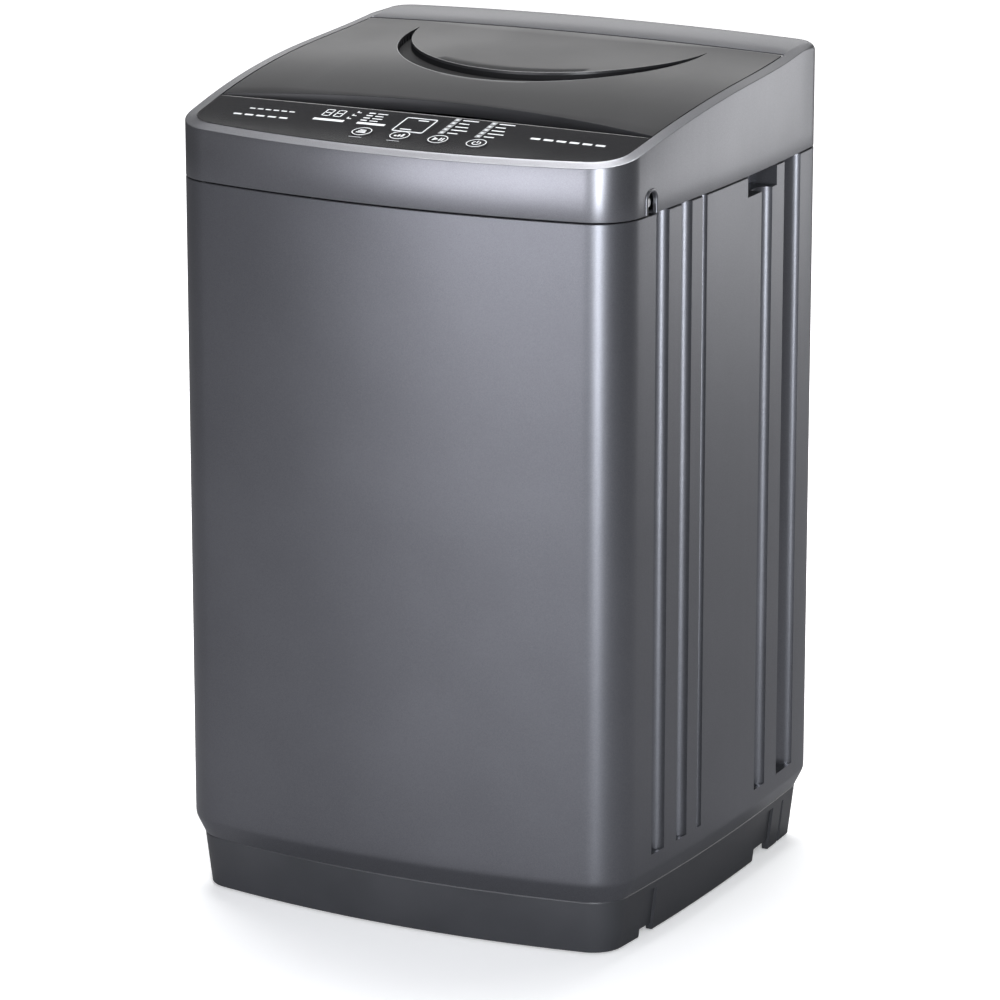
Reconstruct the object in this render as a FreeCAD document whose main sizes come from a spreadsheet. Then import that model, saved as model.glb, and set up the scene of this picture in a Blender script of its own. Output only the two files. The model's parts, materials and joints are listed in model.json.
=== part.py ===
"""A top load washing machine: moulded cabinet, sprung tub, spinning basket, pulsator, lid and keys.

Origin: centre of the footprint, on the floor. +X points to the right seen from the front,
+Y to the back and +Z up. Lengths are millimetres.
"""
import FreeCAD, Part
import math
import os

import Sketcher
from FreeCAD import Placement, Rotation, Vector

# ---------------------------------------------------------------- driving dimensions
DRIVING = {
    "body_width": (510.0, "widest point of the cabinet, across the sides"),
    "body_depth": (486.0, "front to back, over the bowed front"),
    "front_bow": (28.7, "how far the middle of the front stands ahead of its corners"),
    "side_bow": (10.7, "how far the middle of a side stands out"),
    "front_corner": (48.5, "radius of the front corners in plan"),
    "rear_corner": (28.0, "radius of the rear corners in plan"),
    "skin": (3.0, "wall of the cabinet and the top cover"),
    "fit_gap": (0.3, "gap between faces that only lie side by side"),
    "running": (0.05, "radial clearance of a shaft in its hole"),
    "plinth_bottom": (3.0, "lower edge of the plinth, above the floor"),
    "plinth_top": (58.0, "where the plinth meets the cabinet"),
    "chamfer_top": (77.0, "where the cabinet starts to turn in, above the plinth"),
    "chamfer_inset": (9.4, "how far the cabinet turns in at its foot"),
    "plinth_taper": (6.5, "how far the plinth narrows down to the floor"),
    "plinth_wall": (4.0, "wall and deck of the plinth"),
    "deck_hole": (120.0, "radius of the service hole in the plinth's deck"),
    "seam": (740.0, "upper edge of the cabinet"),
    "seam_gap": (1.2, "shadow gap between cabinet and top cover"),
    "groove_foot": (94.0, "where the side grooves stop"),
    "groove_depth": (13.0, "depth of the side grooves"),
    "grip_front": (49.5, "front end of the hand grip"),
    "grip_length": (71.5, "length of the hand grip"),
    "grip_height": (20.0, "height of the hand grip"),
    "grip_depth": (30.0, "depth of the hand grip"),
    "recess_half": (198.0, "half width of the recess in the back"),
    "recess_low": (90.0, "lower edge of the recess in the back"),
    "recess_drop": (25.0, "from the seam down to the recess"),
    "recess_depth": (14.0, "depth of the recess in the back"),
    "flange": (13.0, "flange that the back panel lies on"),
    "panel_thick": (1.5, "sheet of the back panel"),
    "top_front": (794.0, "height of the top at its front edge"),
    "top_keys": (800.5, "height of the top at the middle of the fascia"),
    "top_scoop": (812.0, "height of the top behind the fascia"),
    "top_middle": (835.2, "height of the top over the tub's axis"),
    "top_hinge": (847.0, "height of the top at the lid's hinge"),
    "top_rear": (851.5, "height of the top at the back"),
    "ring_width": (17.0, "rim of the top cover around fascia and lid"),
    "slab": (18.0, "depth of the top cover's moulded deck"),
    "fascia_thick": (3.0, "control fascia"),
    "fascia_rear": (-137.0, "rear edge of the fascia"),
    "lid_pocket": (14.0, "depth of the pocket that the lid lies in"),
    "lid_depth": (12.0, "depth of the lid over its skirt"),
    "lid_skin": (3.0, "skin of the lid"),
    "lid_front_rise": (30.0, "how far the lid's front edge arches back"),
    "lid_front": (-133.0, "front corners of the lid"),
    "hinge_place": (162.0, "hinge axis of the lid, back from the tub's axis"),
    "hinge_below": (5.0, "hinge axis below the lid's top"),
    "hinge_pin": (2.5, "radius of a hinge pin"),
    "hinge_space": (6.0, "from the hinge axis back to the fixed deck"),
    "mouth_radius": (138.0, "loading mouth in the top cover"),
    "mouth_place": (8.0, "middle of the loading mouth, back from the tub's axis"),
    "mouth_low": (716.0, "lower edge of the mouth's collar"),
    "moon_radius": (165.0, "half moon in the lid"),
    "moon_place": (135.0, "centre of the half moon's outer arc"),
    "moon_depth": (7.0, "depth of the half moon's crescent"),
    "key_radius": (11.0, "key cap"),
    "key_pitch": (42.0, "from key to key"),
    "key_first": (-45.0, "first key"),
    "key_row": (-195.0, "row of the keys"),
    "key_travel": (1.0, "travel of a key"),
    "board_below": (12.0, "top of the circuit board, below the fascia's face"),
    "board_thick": (1.6, "circuit board"),
    "tub_radius": (206.0, "outer radius of the outer tub"),
    "tub_wall": (3.0, "wall of the outer tub"),
    "tub_floor": (222.0, "underside of the outer tub"),
    "tub_top": (688.0, "upper edge of the outer tub"),
    "rim_mouth": (158.0, "mouth of the splash rim on the outer tub"),
    "basket_radius": (190.0, "outer radius of the wash basket"),
    "basket_wall": (1.5, "steel of the wash basket"),
    "basket_floor": (250.0, "underside of the wash basket"),
    "basket_top": (632.0, "upper edge of the basket's steel"),
    "ring_height": (38.0, "height of the balance ring"),
    "ring_mouth": (158.0, "mouth of the balance ring"),
    "pulsator_radius": (150.0, "pulsator"),
    "spin_radius": (15.0, "hollow spin shaft"),
    "drive_radius": (9.5, "drive shaft inside the spin shaft"),
    "bearing_radius": (27.0, "outer radius of the spin bearings"),
    "bearing_width": (12.0, "width of a spin bearing"),
    "clutch_radius": (55.0, "clutch housing"),
    "clutch_low": (150.0, "underside of the clutch housing"),
    "plate_thick": (4.0, "motor plate under the tub"),
    "belt_low": (109.0, "lower edge of the drive belt"),
    "belt_width": (10.0, "width of the drive belt"),
    "belt_thick": (4.0, "thickness of the drive belt"),
    "driven_radius": (62.0, "driven pulley"),
    "motor_pulley_radius": (20.0, "motor pulley"),
    "motor_place": (135.0, "from the tub's axis to the motor's"),
    "motor_radius": (52.0, "motor housing"),
    "motor_low": (130.0, "underside of the motor housing"),
    "motor_shaft_radius": (6.0, "motor shaft"),
    "rod_place_x": (190.0, "suspension rods, across"),
    "rod_place_y": (190.0, "suspension rods, front and back"),
    "rod_radius": (4.0, "suspension rod"),
    "rod_seat": (694.0, "underside of the corner brackets"),
    "rod_cup": (262.0, "underside of the lower spring cups"),
    "lug_low": (382.0, "underside of the tub's lugs"),
    "lug_thick": (12.0, "thickness of the tub's lugs"),
    "cup_radius": (19.0, "spring cups"),
    "cup_thick": (8.0, "thickness of a spring cup"),
    "foot_place_x": (195.0, "feet, across"),
    "foot_place_y": (172.0, "feet, front and back"),
    "foot_radius": (18.0, "rubber foot"),
    "foot_stem": (5.0, "stem of a foot"),
    "boss_low": (13.0, "underside of the foot bosses"),
    "inlet_radius": (13.2, "water inlet, over the thread it carries"),
    "inlet_place": (-125.0, "water inlet, across"),
    "inlet_level": (688.0, "axis of the water inlet"),
    "drain_radius": (16.0, "drain spigot"),
    "drain_place_x": (-110.0, "drain valve and spigot, across"),
    "drain_place_y": (130.0, "drain valve, back from the tub's axis"),
    "drain_level": (122.0, "axis of the drain spigot"),
    "cord_radius": (3.6, "bore of the power cord's gland"),
    "cord_place": (140.0, "power cord's gland, across"),
    "cord_level": (130.0, "axis of the cord's gland"),
}

# Side grooves from the front of the machine to the back: front edge, width, share of the full depth.
GROOVES = ((-148.0, 26.0, 1.0), (-97.0, 22.0, 1.0), (-53.0, 10.0, 0.55), (83.0, 27.0, 1.0), (141.0, 44.0, 1.1))

document = FreeCAD.newDocument("top_load_washer")
sheet = document.addObject("Spreadsheet::Sheet", "Sizes")
for row, (alias, (millimetres, meaning)) in enumerate(DRIVING.items(), start=1):
    sheet.set(f"A{row}", alias)
    sheet.set(f"B{row}", str(millimetres))
    sheet.set(f"C{row}", meaning)
    sheet.setAlias(f"B{row}", alias)
document.recompute()


class Size:
    """A length that carries its value and its expression in the sheet through plain arithmetic."""

    def __init__(self, value, text):
        self.value = float(value)
        self.text = text

    @staticmethod
    def of(other):
        return other if isinstance(other, Size) else Size(other, repr(float(other)))

    def __add__(self, other):
        other = Size.of(other)
        return Size(self.value + other.value, f"({self.text} + {other.text})")

    def __sub__(self, other):
        other = Size.of(other)
        return Size(self.value - other.value, f"({self.text} - {other.text})")

    def __mul__(self, other):
        other = Size.of(other)
        return Size(self.value * other.value, f"({self.text} * {other.text})")

    def __truediv__(self, other):
        other = Size.of(other)
        return Size(self.value / other.value, f"({self.text} / {other.text})")

    def __radd__(self, other):
        return Size.of(other) + self

    def __rsub__(self, other):
        return Size.of(other) - self

    def __rmul__(self, other):
        return Size.of(other) * self

    def __neg__(self):
        return Size(-self.value, f"(-{self.text})")

    def __float__(self):
        return self.value


class Sizes:
    """The sheet's cells, read by name."""

    def __getattr__(self, alias):
        return Size(sheet.get(alias), f"Sizes.{alias}")


mm = Sizes()
parts = []


def keep(feature, name):
    """Label a finished sub-part, which names its file, and note it for the export."""
    feature.Label = name
    parts.append(feature)
    return feature


def bind(feature, **values):
    """Set properties, and tie those given as sizes to the sheet."""
    for name, value in values.items():
        path = name.replace("__", ".")
        if isinstance(value, Size):
            feature.setExpression(path, value.text)
        elif "." in path:
            feature.setExpression(path, repr(float(value)))
        else:
            setattr(feature, name, value)
    return feature


def place(feature, x=0.0, y=0.0, z=0.0):
    """Tie a feature's placement to the sheet."""
    return bind(feature, Placement__Base__x=x, Placement__Base__y=y, Placement__Base__z=z)


# ---------------------------------------------------------------- sketched bodies
def sketch_on(body, role, name):
    """A sketch on one of the body's own origin planes."""
    sketch = body.newObject("Sketcher::SketchObject", name)
    plane = next(item for item in body.Origin.OriginFeatures if item.Role == role)
    sketch.AttachmentSupport = [(plane, "")]
    sketch.MapMode = "FlatFace"
    return sketch


def fix_point(sketch, index, end, point):
    """Tie both coordinates of a sketch point to the sheet."""
    for kind, value in zip(("DistanceX", "DistanceY"), point):
        number = sketch.addConstraint(Sketcher.Constraint(kind, index, end, float(value)))
        if isinstance(value, Size):
            sketch.setExpression(f"Constraints[{number}]", value.text)


def draw_loop(sketch, points):
    """A closed loop of straight lines through the points."""
    first = sketch.GeometryCount
    count = len(points)
    for index, (start, end) in enumerate(zip(points, points[1:] + points[:1])):
        a = Vector(float(start[0]), float(start[1]), 0)
        b = Vector(float(end[0]), float(end[1]), 0)
        sketch.addGeometry(Part.LineSegment(a, b), False)
    for index in range(count):
        following = first + (index + 1) % count
        sketch.addConstraint(Sketcher.Constraint("Coincident", first + index, 2, following, 1))
        fix_point(sketch, first + index, 1, points[index])


def draw_circle(sketch, x, y, radius):
    """A circle with its centre and radius tied to the sheet."""
    circle = Part.Circle(Vector(float(x), float(y), 0), Vector(0, 0, 1), float(radius))
    index = sketch.addGeometry(circle, False)
    fix_point(sketch, index, 3, (x, y))
    number = sketch.addConstraint(Sketcher.Constraint("Radius", index, float(radius)))
    sketch.setExpression(f"Constraints[{number}]", Size.of(radius).text)


def turned(name, *loops, x=0.0, y=0.0, z=0.0, finished=True):
    """A body turned about its own upright axis from loops of (radius, height) points."""
    body = document.addObject("PartDesign::Body", name + "_body")
    sketch = sketch_on(body, "XZ_Plane", name + "_profile")
    for loop in loops:
        draw_loop(sketch, list(loop))
    spin = body.newObject("PartDesign::Revolution", name + "_turn")
    spin.Profile = sketch
    spin.ReferenceAxis = (sketch, ["V_Axis"])
    spin.Angle = 360.0
    sketch.Visibility = False
    place(body, x, y, z)
    return keep(body, name) if finished else body


def padded(name, thickness, outline=None, circles=(), z=0.0, x=0.0, y=0.0):
    """A body padded up from a sketch of one loop or circle with round holes in it."""
    body = document.addObject("PartDesign::Body", name + "_body")
    sketch = sketch_on(body, "XY_Plane", name + "_outline")
    if outline:
        draw_loop(sketch, list(outline))
    for circle in circles:
        draw_circle(sketch, *circle)
    pad = body.newObject("PartDesign::Pad", name + "_pad")
    pad.Profile = sketch
    bind(pad, Length=thickness)
    place(body, x, y, z)
    return keep(body, name)


def ring(inner, outer, low, high):
    """The four corners of a plain ring's section."""
    return ((inner, low), (outer, low), (outer, high), (inner, high))


def rectangle(x_low, y_low, x_high, y_high):
    """The four corners of a rectangle."""
    return ((x_low, y_low), (x_high, y_low), (x_high, y_high), (x_low, y_high))


# ---------------------------------------------------------------- coded shapes
def coded(name, shape):
    """A sub-part whose shape is worked out in code from the sheet's values."""
    feature = document.addObject("Part::Feature", name + "_shape")
    spot = shape.Placement
    feature.Shape = shape
    feature.Placement = spot
    return keep(feature, name)


def box(low, high):
    """A box between two corners."""
    size = [float(b) - float(a) for a, b in zip(low, high)]
    return Part.makeBox(*size, Vector(*[float(a) for a in low]))


def cylinder(radius, low, high, x=0.0, y=0.0):
    """An upright cylinder between two heights."""
    return Part.makeCylinder(float(radius), float(high) - float(low), Vector(float(x), float(y), float(low)))


def lying(radius, x, y_low, y_high, z):
    """A cylinder along Y."""
    foot = Vector(float(x), float(y_low), float(z))
    return Part.makeCylinder(float(radius), float(y_high) - float(y_low), foot, Vector(0, 1, 0))


def across(radius, x_low, x_high, y, z):
    """A cylinder along X."""
    foot = Vector(float(x_low), float(y), float(z))
    return Part.makeCylinder(float(radius), float(x_high) - float(x_low), foot, Vector(1, 0, 0))


def corners(x, y):
    """The four places (+-x, +-y), front left first."""
    return [(sx * float(x), sy * float(y)) for sy in (-1, 1) for sx in (-1, 1)]


class Plan:
    """The cabinet's outline in plan: bowed front and sides, straight back, four rounded corners.

    Each arc keeps its centre when the outline is inset, so insets are true offsets.
    """

    def __init__(self):
        half_width = float(mm.body_width) / 2
        half_depth = float(mm.body_depth) / 2
        bow, side = float(mm.front_bow), float(mm.side_bow)
        self.front_radius = (half_width ** 2 + bow ** 2) / (2 * bow)
        self.side_radius = (half_depth ** 2 + side ** 2) / (2 * side)
        self.front_centre = Vector(0, self.front_radius - half_depth, 0)
        self.side_centre = Vector(half_width - self.side_radius, 0, 0)
        self.corner = float(mm.front_corner)
        self.rear_corner = float(mm.rear_corner)
        self.back = half_depth
        self.front_corner_centre = self.tangent_centre()
        rear_y = half_depth - self.rear_corner
        reach = math.sqrt((self.side_radius - self.rear_corner) ** 2 - rear_y ** 2)
        self.rear_corner_centre = Vector(self.side_centre.x + reach, rear_y, 0)

    def tangent_centre(self):
        """Centre of the circle inside both the front's and the side's arcs."""
        r1 = self.front_radius - self.corner
        r2 = self.side_radius - self.corner
        line = self.side_centre - self.front_centre
        length = line.Length
        along = (r1 ** 2 - r2 ** 2 + length ** 2) / (2 * length)
        off = math.sqrt(r1 ** 2 - along ** 2)
        unit = line / length
        foot = self.front_centre + unit * along
        options = [foot + Vector(-unit.y, unit.x, 0) * off, foot - Vector(-unit.y, unit.x, 0) * off]
        return max(options, key=lambda point: point.x - point.y)

    def half_width_at(self, y):
        """Half width of the outline at a depth between its corners."""
        return self.side_centre.x + math.sqrt(self.side_radius ** 2 - float(y) ** 2)

    def wire(self, inset=0.0, z=0.0):
        """The closed outline, moved in by inset, at height z."""
        inset = float(inset)

        def towards(centre, through, radius):
            unit = (through - centre) / (through - centre).Length
            return centre + unit * (radius - inset)

        def flip(point):
            return Vector(-point.x, point.y, 0)

        front, side = self.front_centre, self.side_centre
        corner, rear = self.front_corner_centre, self.rear_corner_centre
        a = Vector(0, front.y - self.front_radius + inset, 0)
        b = towards(front, corner, self.front_radius)
        c = towards(side, corner, self.side_radius)
        bc = towards(corner, (b + c) / 2, self.corner)
        d = Vector(side.x + self.side_radius - inset, 0, 0)
        e = towards(side, rear, self.side_radius)
        f = Vector(rear.x, self.back - inset, 0)
        turn = (e - rear) / (e - rear).Length + Vector(0, 1, 0)
        ef = rear + turn / turn.Length * (self.rear_corner - inset)
        right = [Part.Arc(b, bc, c), Part.Arc(c, d, e), Part.Arc(e, ef, f)]
        left = [Part.Arc(flip(f), flip(ef), flip(e)), Part.Arc(flip(e), flip(d), flip(c)),
                Part.Arc(flip(c), flip(bc), flip(b))]
        closing = Part.Arc(flip(b), a, b)
        edges = [closing, *right, Part.LineSegment(f, flip(f)), *left]
        wire = Part.Wire([edge.toShape() for edge in edges])
        wire.translate(Vector(0, 0, float(z)))
        return wire

    def prism(self, inset, low, high):
        """The outline raised straight from one height to another."""
        return Part.Face(self.wire(inset, low)).extrude(Vector(0, 0, float(high) - float(low)))

    def taper(self, inset_low, low, inset_high, high):
        """The outline raised with a different inset at each height."""
        return Part.makeLoft([self.wire(inset_low, low), self.wire(inset_high, high)], True, True)


class Crown:
    """The top's line from front to back, and solids bounded by it."""

    def __init__(self):
        half = float(mm.body_depth) / 2
        stations = ((-half, mm.top_front), (mm.key_row, mm.top_keys), (mm.fascia_rear, mm.top_scoop),
                    (20.0, mm.top_middle), (mm.hinge_place, mm.top_hinge), (half - 7.0, mm.top_rear),
                    (half, mm.top_rear - 0.6))
        self.curve = Part.BSplineCurve()
        self.curve.interpolate([Vector(0, float(y), float(z)) for y, z in stations])
        self.half = half

    def height(self, y):
        """Height of the top at a depth."""
        point = Vector(0, float(y), float(mm.top_middle))
        for _ in range(6):
            near = self.curve.value(self.curve.parameter(point))
            point = Vector(0, float(y), near.z)
        return point.z

    def slope(self, y):
        """Slope of the top at a depth, in degrees."""
        rise = self.height(float(y) + 1) - self.height(float(y) - 1)
        return math.degrees(math.atan2(rise, 2))

    def under(self, drop=0.0):
        """Everything below the top's line, moved down by drop."""
        floor = 600.0
        line = self.curve.toShape()
        line.translate(Vector(0, 0, -float(drop)))
        start, end = line.Vertexes[0].Point, line.Vertexes[-1].Point
        reach = 60.0
        points = [end, Vector(0, self.half + reach, end.z), Vector(0, self.half + reach, floor),
                  Vector(0, -self.half - reach, floor), Vector(0, -self.half - reach, start.z), start]
        sides = [Part.makeLine(a, b) for a, b in zip(points, points[1:])]
        face = Part.Face(Part.Wire([line, *sides]))
        wide = float(mm.body_width)
        face.translate(Vector(-wide, 0, 0))
        return face.extrude(Vector(2 * wide, 0, 0))

    def frame_at(self, x, y):
        """A placement on the top with its Z along the top's outward normal."""
        spot = Vector(float(x), float(y), self.height(y))
        return Placement(spot, Rotation(Vector(1, 0, 0), self.slope(y)))

    def on(self, shape, x, y):
        """A shape moved from the origin onto the top."""
        moved = shape.copy()
        moved.Placement = self.frame_at(x, y)
        return moved


plan = Plan()
crown = Crown()
SKY = 900.0
half_depth = float(mm.body_depth) / 2
half_width = float(mm.body_width) / 2


def between(y_low, y_high):
    """A slice of the machine between two depths."""
    return box((-half_width - 60, y_low, 0), (half_width + 60, y_high, SKY))


def groove_shape(front, width, depth, extra, low, high):
    """One side groove on the right: steep front wall, flat floor, hollow ramp out to the rear edge."""
    face_x = plan.half_width_at(front + width / 2)
    floor_x = face_x - depth - extra
    start, end = front - extra, front + width + extra
    points = [Vector(face_x + 20, start, low), Vector(face_x, start, low), Vector(floor_x, start + 0.06 * width, low),
              Vector(floor_x, end - 0.45 * width, low), Vector(face_x - 0.62 * depth - extra, end - 0.12 * width, low),
              Vector(face_x - extra, end, low), Vector(face_x + 20, end, low)]
    return Part.Face(Part.makePolygon(points + points[:1])).extrude(Vector(0, 0, high - low))


def mirrored_pair(shape):
    """A shape and its mirror image across the machine's middle."""
    return [shape, shape.mirror(Vector(0, 0, 0), Vector(1, 0, 0))]


def side_hollows(extra):
    """The solids that the side grooves, hand grips and rear recess take out of the cabinet."""
    extra = float(extra)
    seam, foot = float(mm.seam), float(mm.groove_foot)
    hollows = []
    for front, width, share in GROOVES:
        depth = share * float(mm.groove_depth)
        hollows += mirrored_pair(groove_shape(front, width, depth, extra, foot - extra, seam + 20))
    grip_inner = half_width - float(mm.grip_depth)
    grip_low = seam - float(mm.grip_height)
    grip = box((grip_inner - extra, mm.grip_front - extra, grip_low - extra),
               (half_width + 20, mm.grip_front + mm.grip_length + extra, seam + 20))
    hollows += mirrored_pair(grip)
    recess_half = float(mm.recess_half) + extra
    recess_y = half_depth - float(mm.recess_depth) - extra
    hollows.append(box((-recess_half, recess_y, mm.recess_low - extra),
                       (recess_half, half_depth + 20, mm.seam - mm.recess_drop + extra)))
    return hollows


def cabinet_core(inset, low, high):
    """The room inside the cabinet's walls."""
    return plan.prism(inset, low, high).cut(side_hollows(inset))


panel_face = half_depth - float(mm.recess_depth)
recess_top = mm.seam - mm.recess_drop


def build_cabinet():
    """The moulded cabinet: one shell, open above and below, turned in at its foot."""
    upper = plan.prism(0, mm.chamfer_top, mm.seam)
    foot = plan.taper(mm.chamfer_inset, mm.plinth_top, 0, mm.chamfer_top)
    outside = upper.fuse(foot).cut(side_hollows(0))
    room_upper = plan.prism(mm.skin, mm.chamfer_top, mm.seam + 1)
    room_foot = plan.taper(mm.chamfer_inset + mm.skin, mm.plinth_top - 1, mm.skin, mm.chamfer_top)
    room = room_upper.fuse(room_foot).cut(side_hollows(mm.skin))
    service = box((-mm.recess_half + mm.flange, panel_face - 10, mm.recess_low + mm.flange),
                  (mm.recess_half - mm.flange, half_depth + 10, recess_top - mm.flange))
    shell = outside.cut([room, service, *panel_screw_shapes(mm.running)])
    return coded("cabinet_shell", shell.removeSplitter())


def panel_screw_places():
    """Middles of the back panel's screws, as (x, z)."""
    edge = float(mm.recess_half) - 0.5 * float(mm.flange) - 1
    low = float(mm.recess_low) + 0.5 * float(mm.flange) + 1
    high = float(recess_top) - 0.5 * float(mm.flange) - 1
    middle = (low + high) / 2
    return [(side * edge, z) for side in (-1, 1) for z in (low, middle, high)] + [(0, low), (0, high)]


def panel_screw_shapes(clearance):
    """The back panel's screws, swollen by a clearance."""
    shank = 2.0 + float(clearance)
    face = panel_face + float(mm.panel_thick)
    screws = []
    for x, z in panel_screw_places():
        head = lying(4.2, x, face, face + 2.4, z)
        screws.append(head.fuse(lying(shank, x, panel_face - 2.6, face + 0.5, z)))
    return screws


def build_back_panel():
    """The ribbed steel panel that closes the back, with its screws."""
    side = float(mm.recess_half) - float(mm.fit_gap)
    low = float(mm.recess_low + mm.fit_gap)
    high = float(recess_top - mm.fit_gap)
    thick = float(mm.panel_thick)
    panel = box((-side, panel_face, low), (side, panel_face + thick, high))
    ribs = []
    for z in range(240, 620, 75):
        ribs.append(box((-150, panel_face + thick - 0.1, z), (150, panel_face + thick + 3, z + 26)))
        ribs.append(box((-147, panel_face - 1, z + 3), (147, panel_face + thick + 1.4, z + 23)))
    panel = panel.fuse(ribs[0::2]).cut(ribs[1::2])
    gap = mm.fit_gap
    panel = panel.cut([lying(mm.inlet_radius + gap, mm.inlet_place, panel_face - 5, half_depth, mm.inlet_level),
                       lying(mm.drain_radius + gap, mm.drain_place_x, panel_face - 5, half_depth, mm.drain_level),
                       lying(mm.cord_radius + 3.5, mm.cord_place, panel_face - 5, half_depth, mm.cord_level),
                       *panel_screw_shapes(mm.running)])
    coded("back_panel", panel)
    coded("back_panel_screws", Part.makeCompound(panel_screw_shapes(0)))


def foot_places():
    return corners(mm.foot_place_x, mm.foot_place_y)


def build_plinth():
    """The dark base: tapered skirt, deck with a service hole, lip inside the cabinet, foot bosses."""
    top = mm.plinth_top - mm.fit_gap
    foot_inset = mm.chamfer_inset + mm.plinth_taper
    wall = mm.plinth_wall
    skirt = plan.taper(foot_inset, mm.plinth_bottom, mm.chamfer_inset, top)
    hollow = plan.taper(foot_inset + wall, mm.plinth_bottom - 1, mm.chamfer_inset + wall, top - wall)
    lip_outer = mm.chamfer_inset + mm.skin + mm.fit_gap
    lip = plan.prism(lip_outer, top - 1, top + 8).cut(plan.prism(lip_outer + 3.0, top - 2, top + 9))
    deck_hole = cylinder(mm.deck_hole, 0, mm.plinth_top + 5)
    bosses = [cylinder(mm.foot_stem * 3.0, mm.boss_low, top - 2, x, y) for x, y in foot_places()]
    stems = [cylinder(mm.foot_stem + mm.running, 0, top - wall - 4, x, y) for x, y in foot_places()]
    ribs = [box((-half_width + 20, y - 1.5, mm.boss_low + 20), (half_width - 20, y + 1.5, top - 2))
            for y in (-float(mm.foot_place_y), float(mm.foot_place_y))]
    room = plan.prism(foot_inset + 2, 0, top - 1)
    ribs = [rib.common(room) for rib in ribs]
    base = skirt.cut(hollow).fuse([lip, *bosses, *ribs]).cut([deck_hole, *stems])
    cuts = []
    for front, width, depth, high in ((-144, 27, 3.0, 58), (119, 43, 3.0, 58), (186, 5, 3.0, 58)):
        face_x = plan.half_width_at(front) - float(mm.chamfer_inset) - 1.0
        notch = box((face_x - depth - 3, front, 0), (half_width + 10, front + width, high - 8))
        slope = plan.taper(foot_inset + depth, mm.plinth_bottom - 1, mm.chamfer_inset + depth, top)
        cuts += mirrored_pair(notch.cut(slope))
    for front, width, rise in ((-144, 27, 6.0), (119, 43, 10.0)):
        cuts += mirrored_pair(box((half_width - 40, front, 0), (half_width, front + width, mm.plinth_bottom + rise)))
    coded("base_plinth", base.cut(cuts).removeSplitter())


def build_feet():
    """Three fixed rubber feet, one that screws up and down to level the machine, and its lock nut."""
    places = foot_places()
    pads = []
    for x, y in (places[0], places[2], places[3]):
        pad = cylinder(mm.foot_radius, 0, mm.boss_low, x, y)
        pad = pad.makeFillet(2.0, [pad.Edges[0], pad.Edges[2]])
        pads.append(pad.fuse(cylinder(mm.foot_stem, 1, mm.boss_low + 18, x, y)))
    coded("fixed_feet", Part.makeCompound(pads))
    x, y = mm.foot_place_x, -mm.foot_place_y
    radius, stem = mm.foot_radius, mm.foot_stem
    turned("levelling_foot", ((0, 0), (radius - 2, 0), (radius, 2), (radius, 5), (stem + 3, 6.5), (stem, 6.5),
                              (stem, mm.boss_low + 26), (0, mm.boss_low + 26)), x=x, y=y)
    nut = Part.Face(Part.Wire(Part.makePolygon(
        [Vector(9.5 * math.cos(math.radians(60 * k)), 9.5 * math.sin(math.radians(60 * k)), 0) for k in range(7)])))
    nut = nut.extrude(Vector(0, 0, 5.0)).cut(cylinder(stem + mm.running, -1, 6))
    nut.translate(Vector(float(x), float(y), float(mm.boss_low) - 5.2))
    coded("foot_lock_nut", nut)


hinge_z = crown.height(mm.hinge_place) - float(mm.hinge_below)
pocket_rear = mm.hinge_place + mm.hinge_space
pocket_front = mm.fascia_rear + 2.0


def arch_places():
    return [(-1, -157.5, 752.0), (1, -157.5, 752.0)]


def cover_screw(side, y, z, clearance):
    """A screw in the side of the top cover, along X."""
    reach = plan.half_width_at(y)
    outer = reach - 3.2
    head = across(4.0, outer - 2.4, outer, y, z)
    shank = across(2.0 + float(clearance), outer - 14, outer - 2, y, z)
    screw = head.fuse(shank)
    return screw if side > 0 else screw.mirror(Vector(0, 0, 0), Vector(1, 0, 0))


def key_places():
    return [(float(mm.key_first) + k * float(mm.key_pitch), float(mm.key_row)) for k in range(4)]


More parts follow.
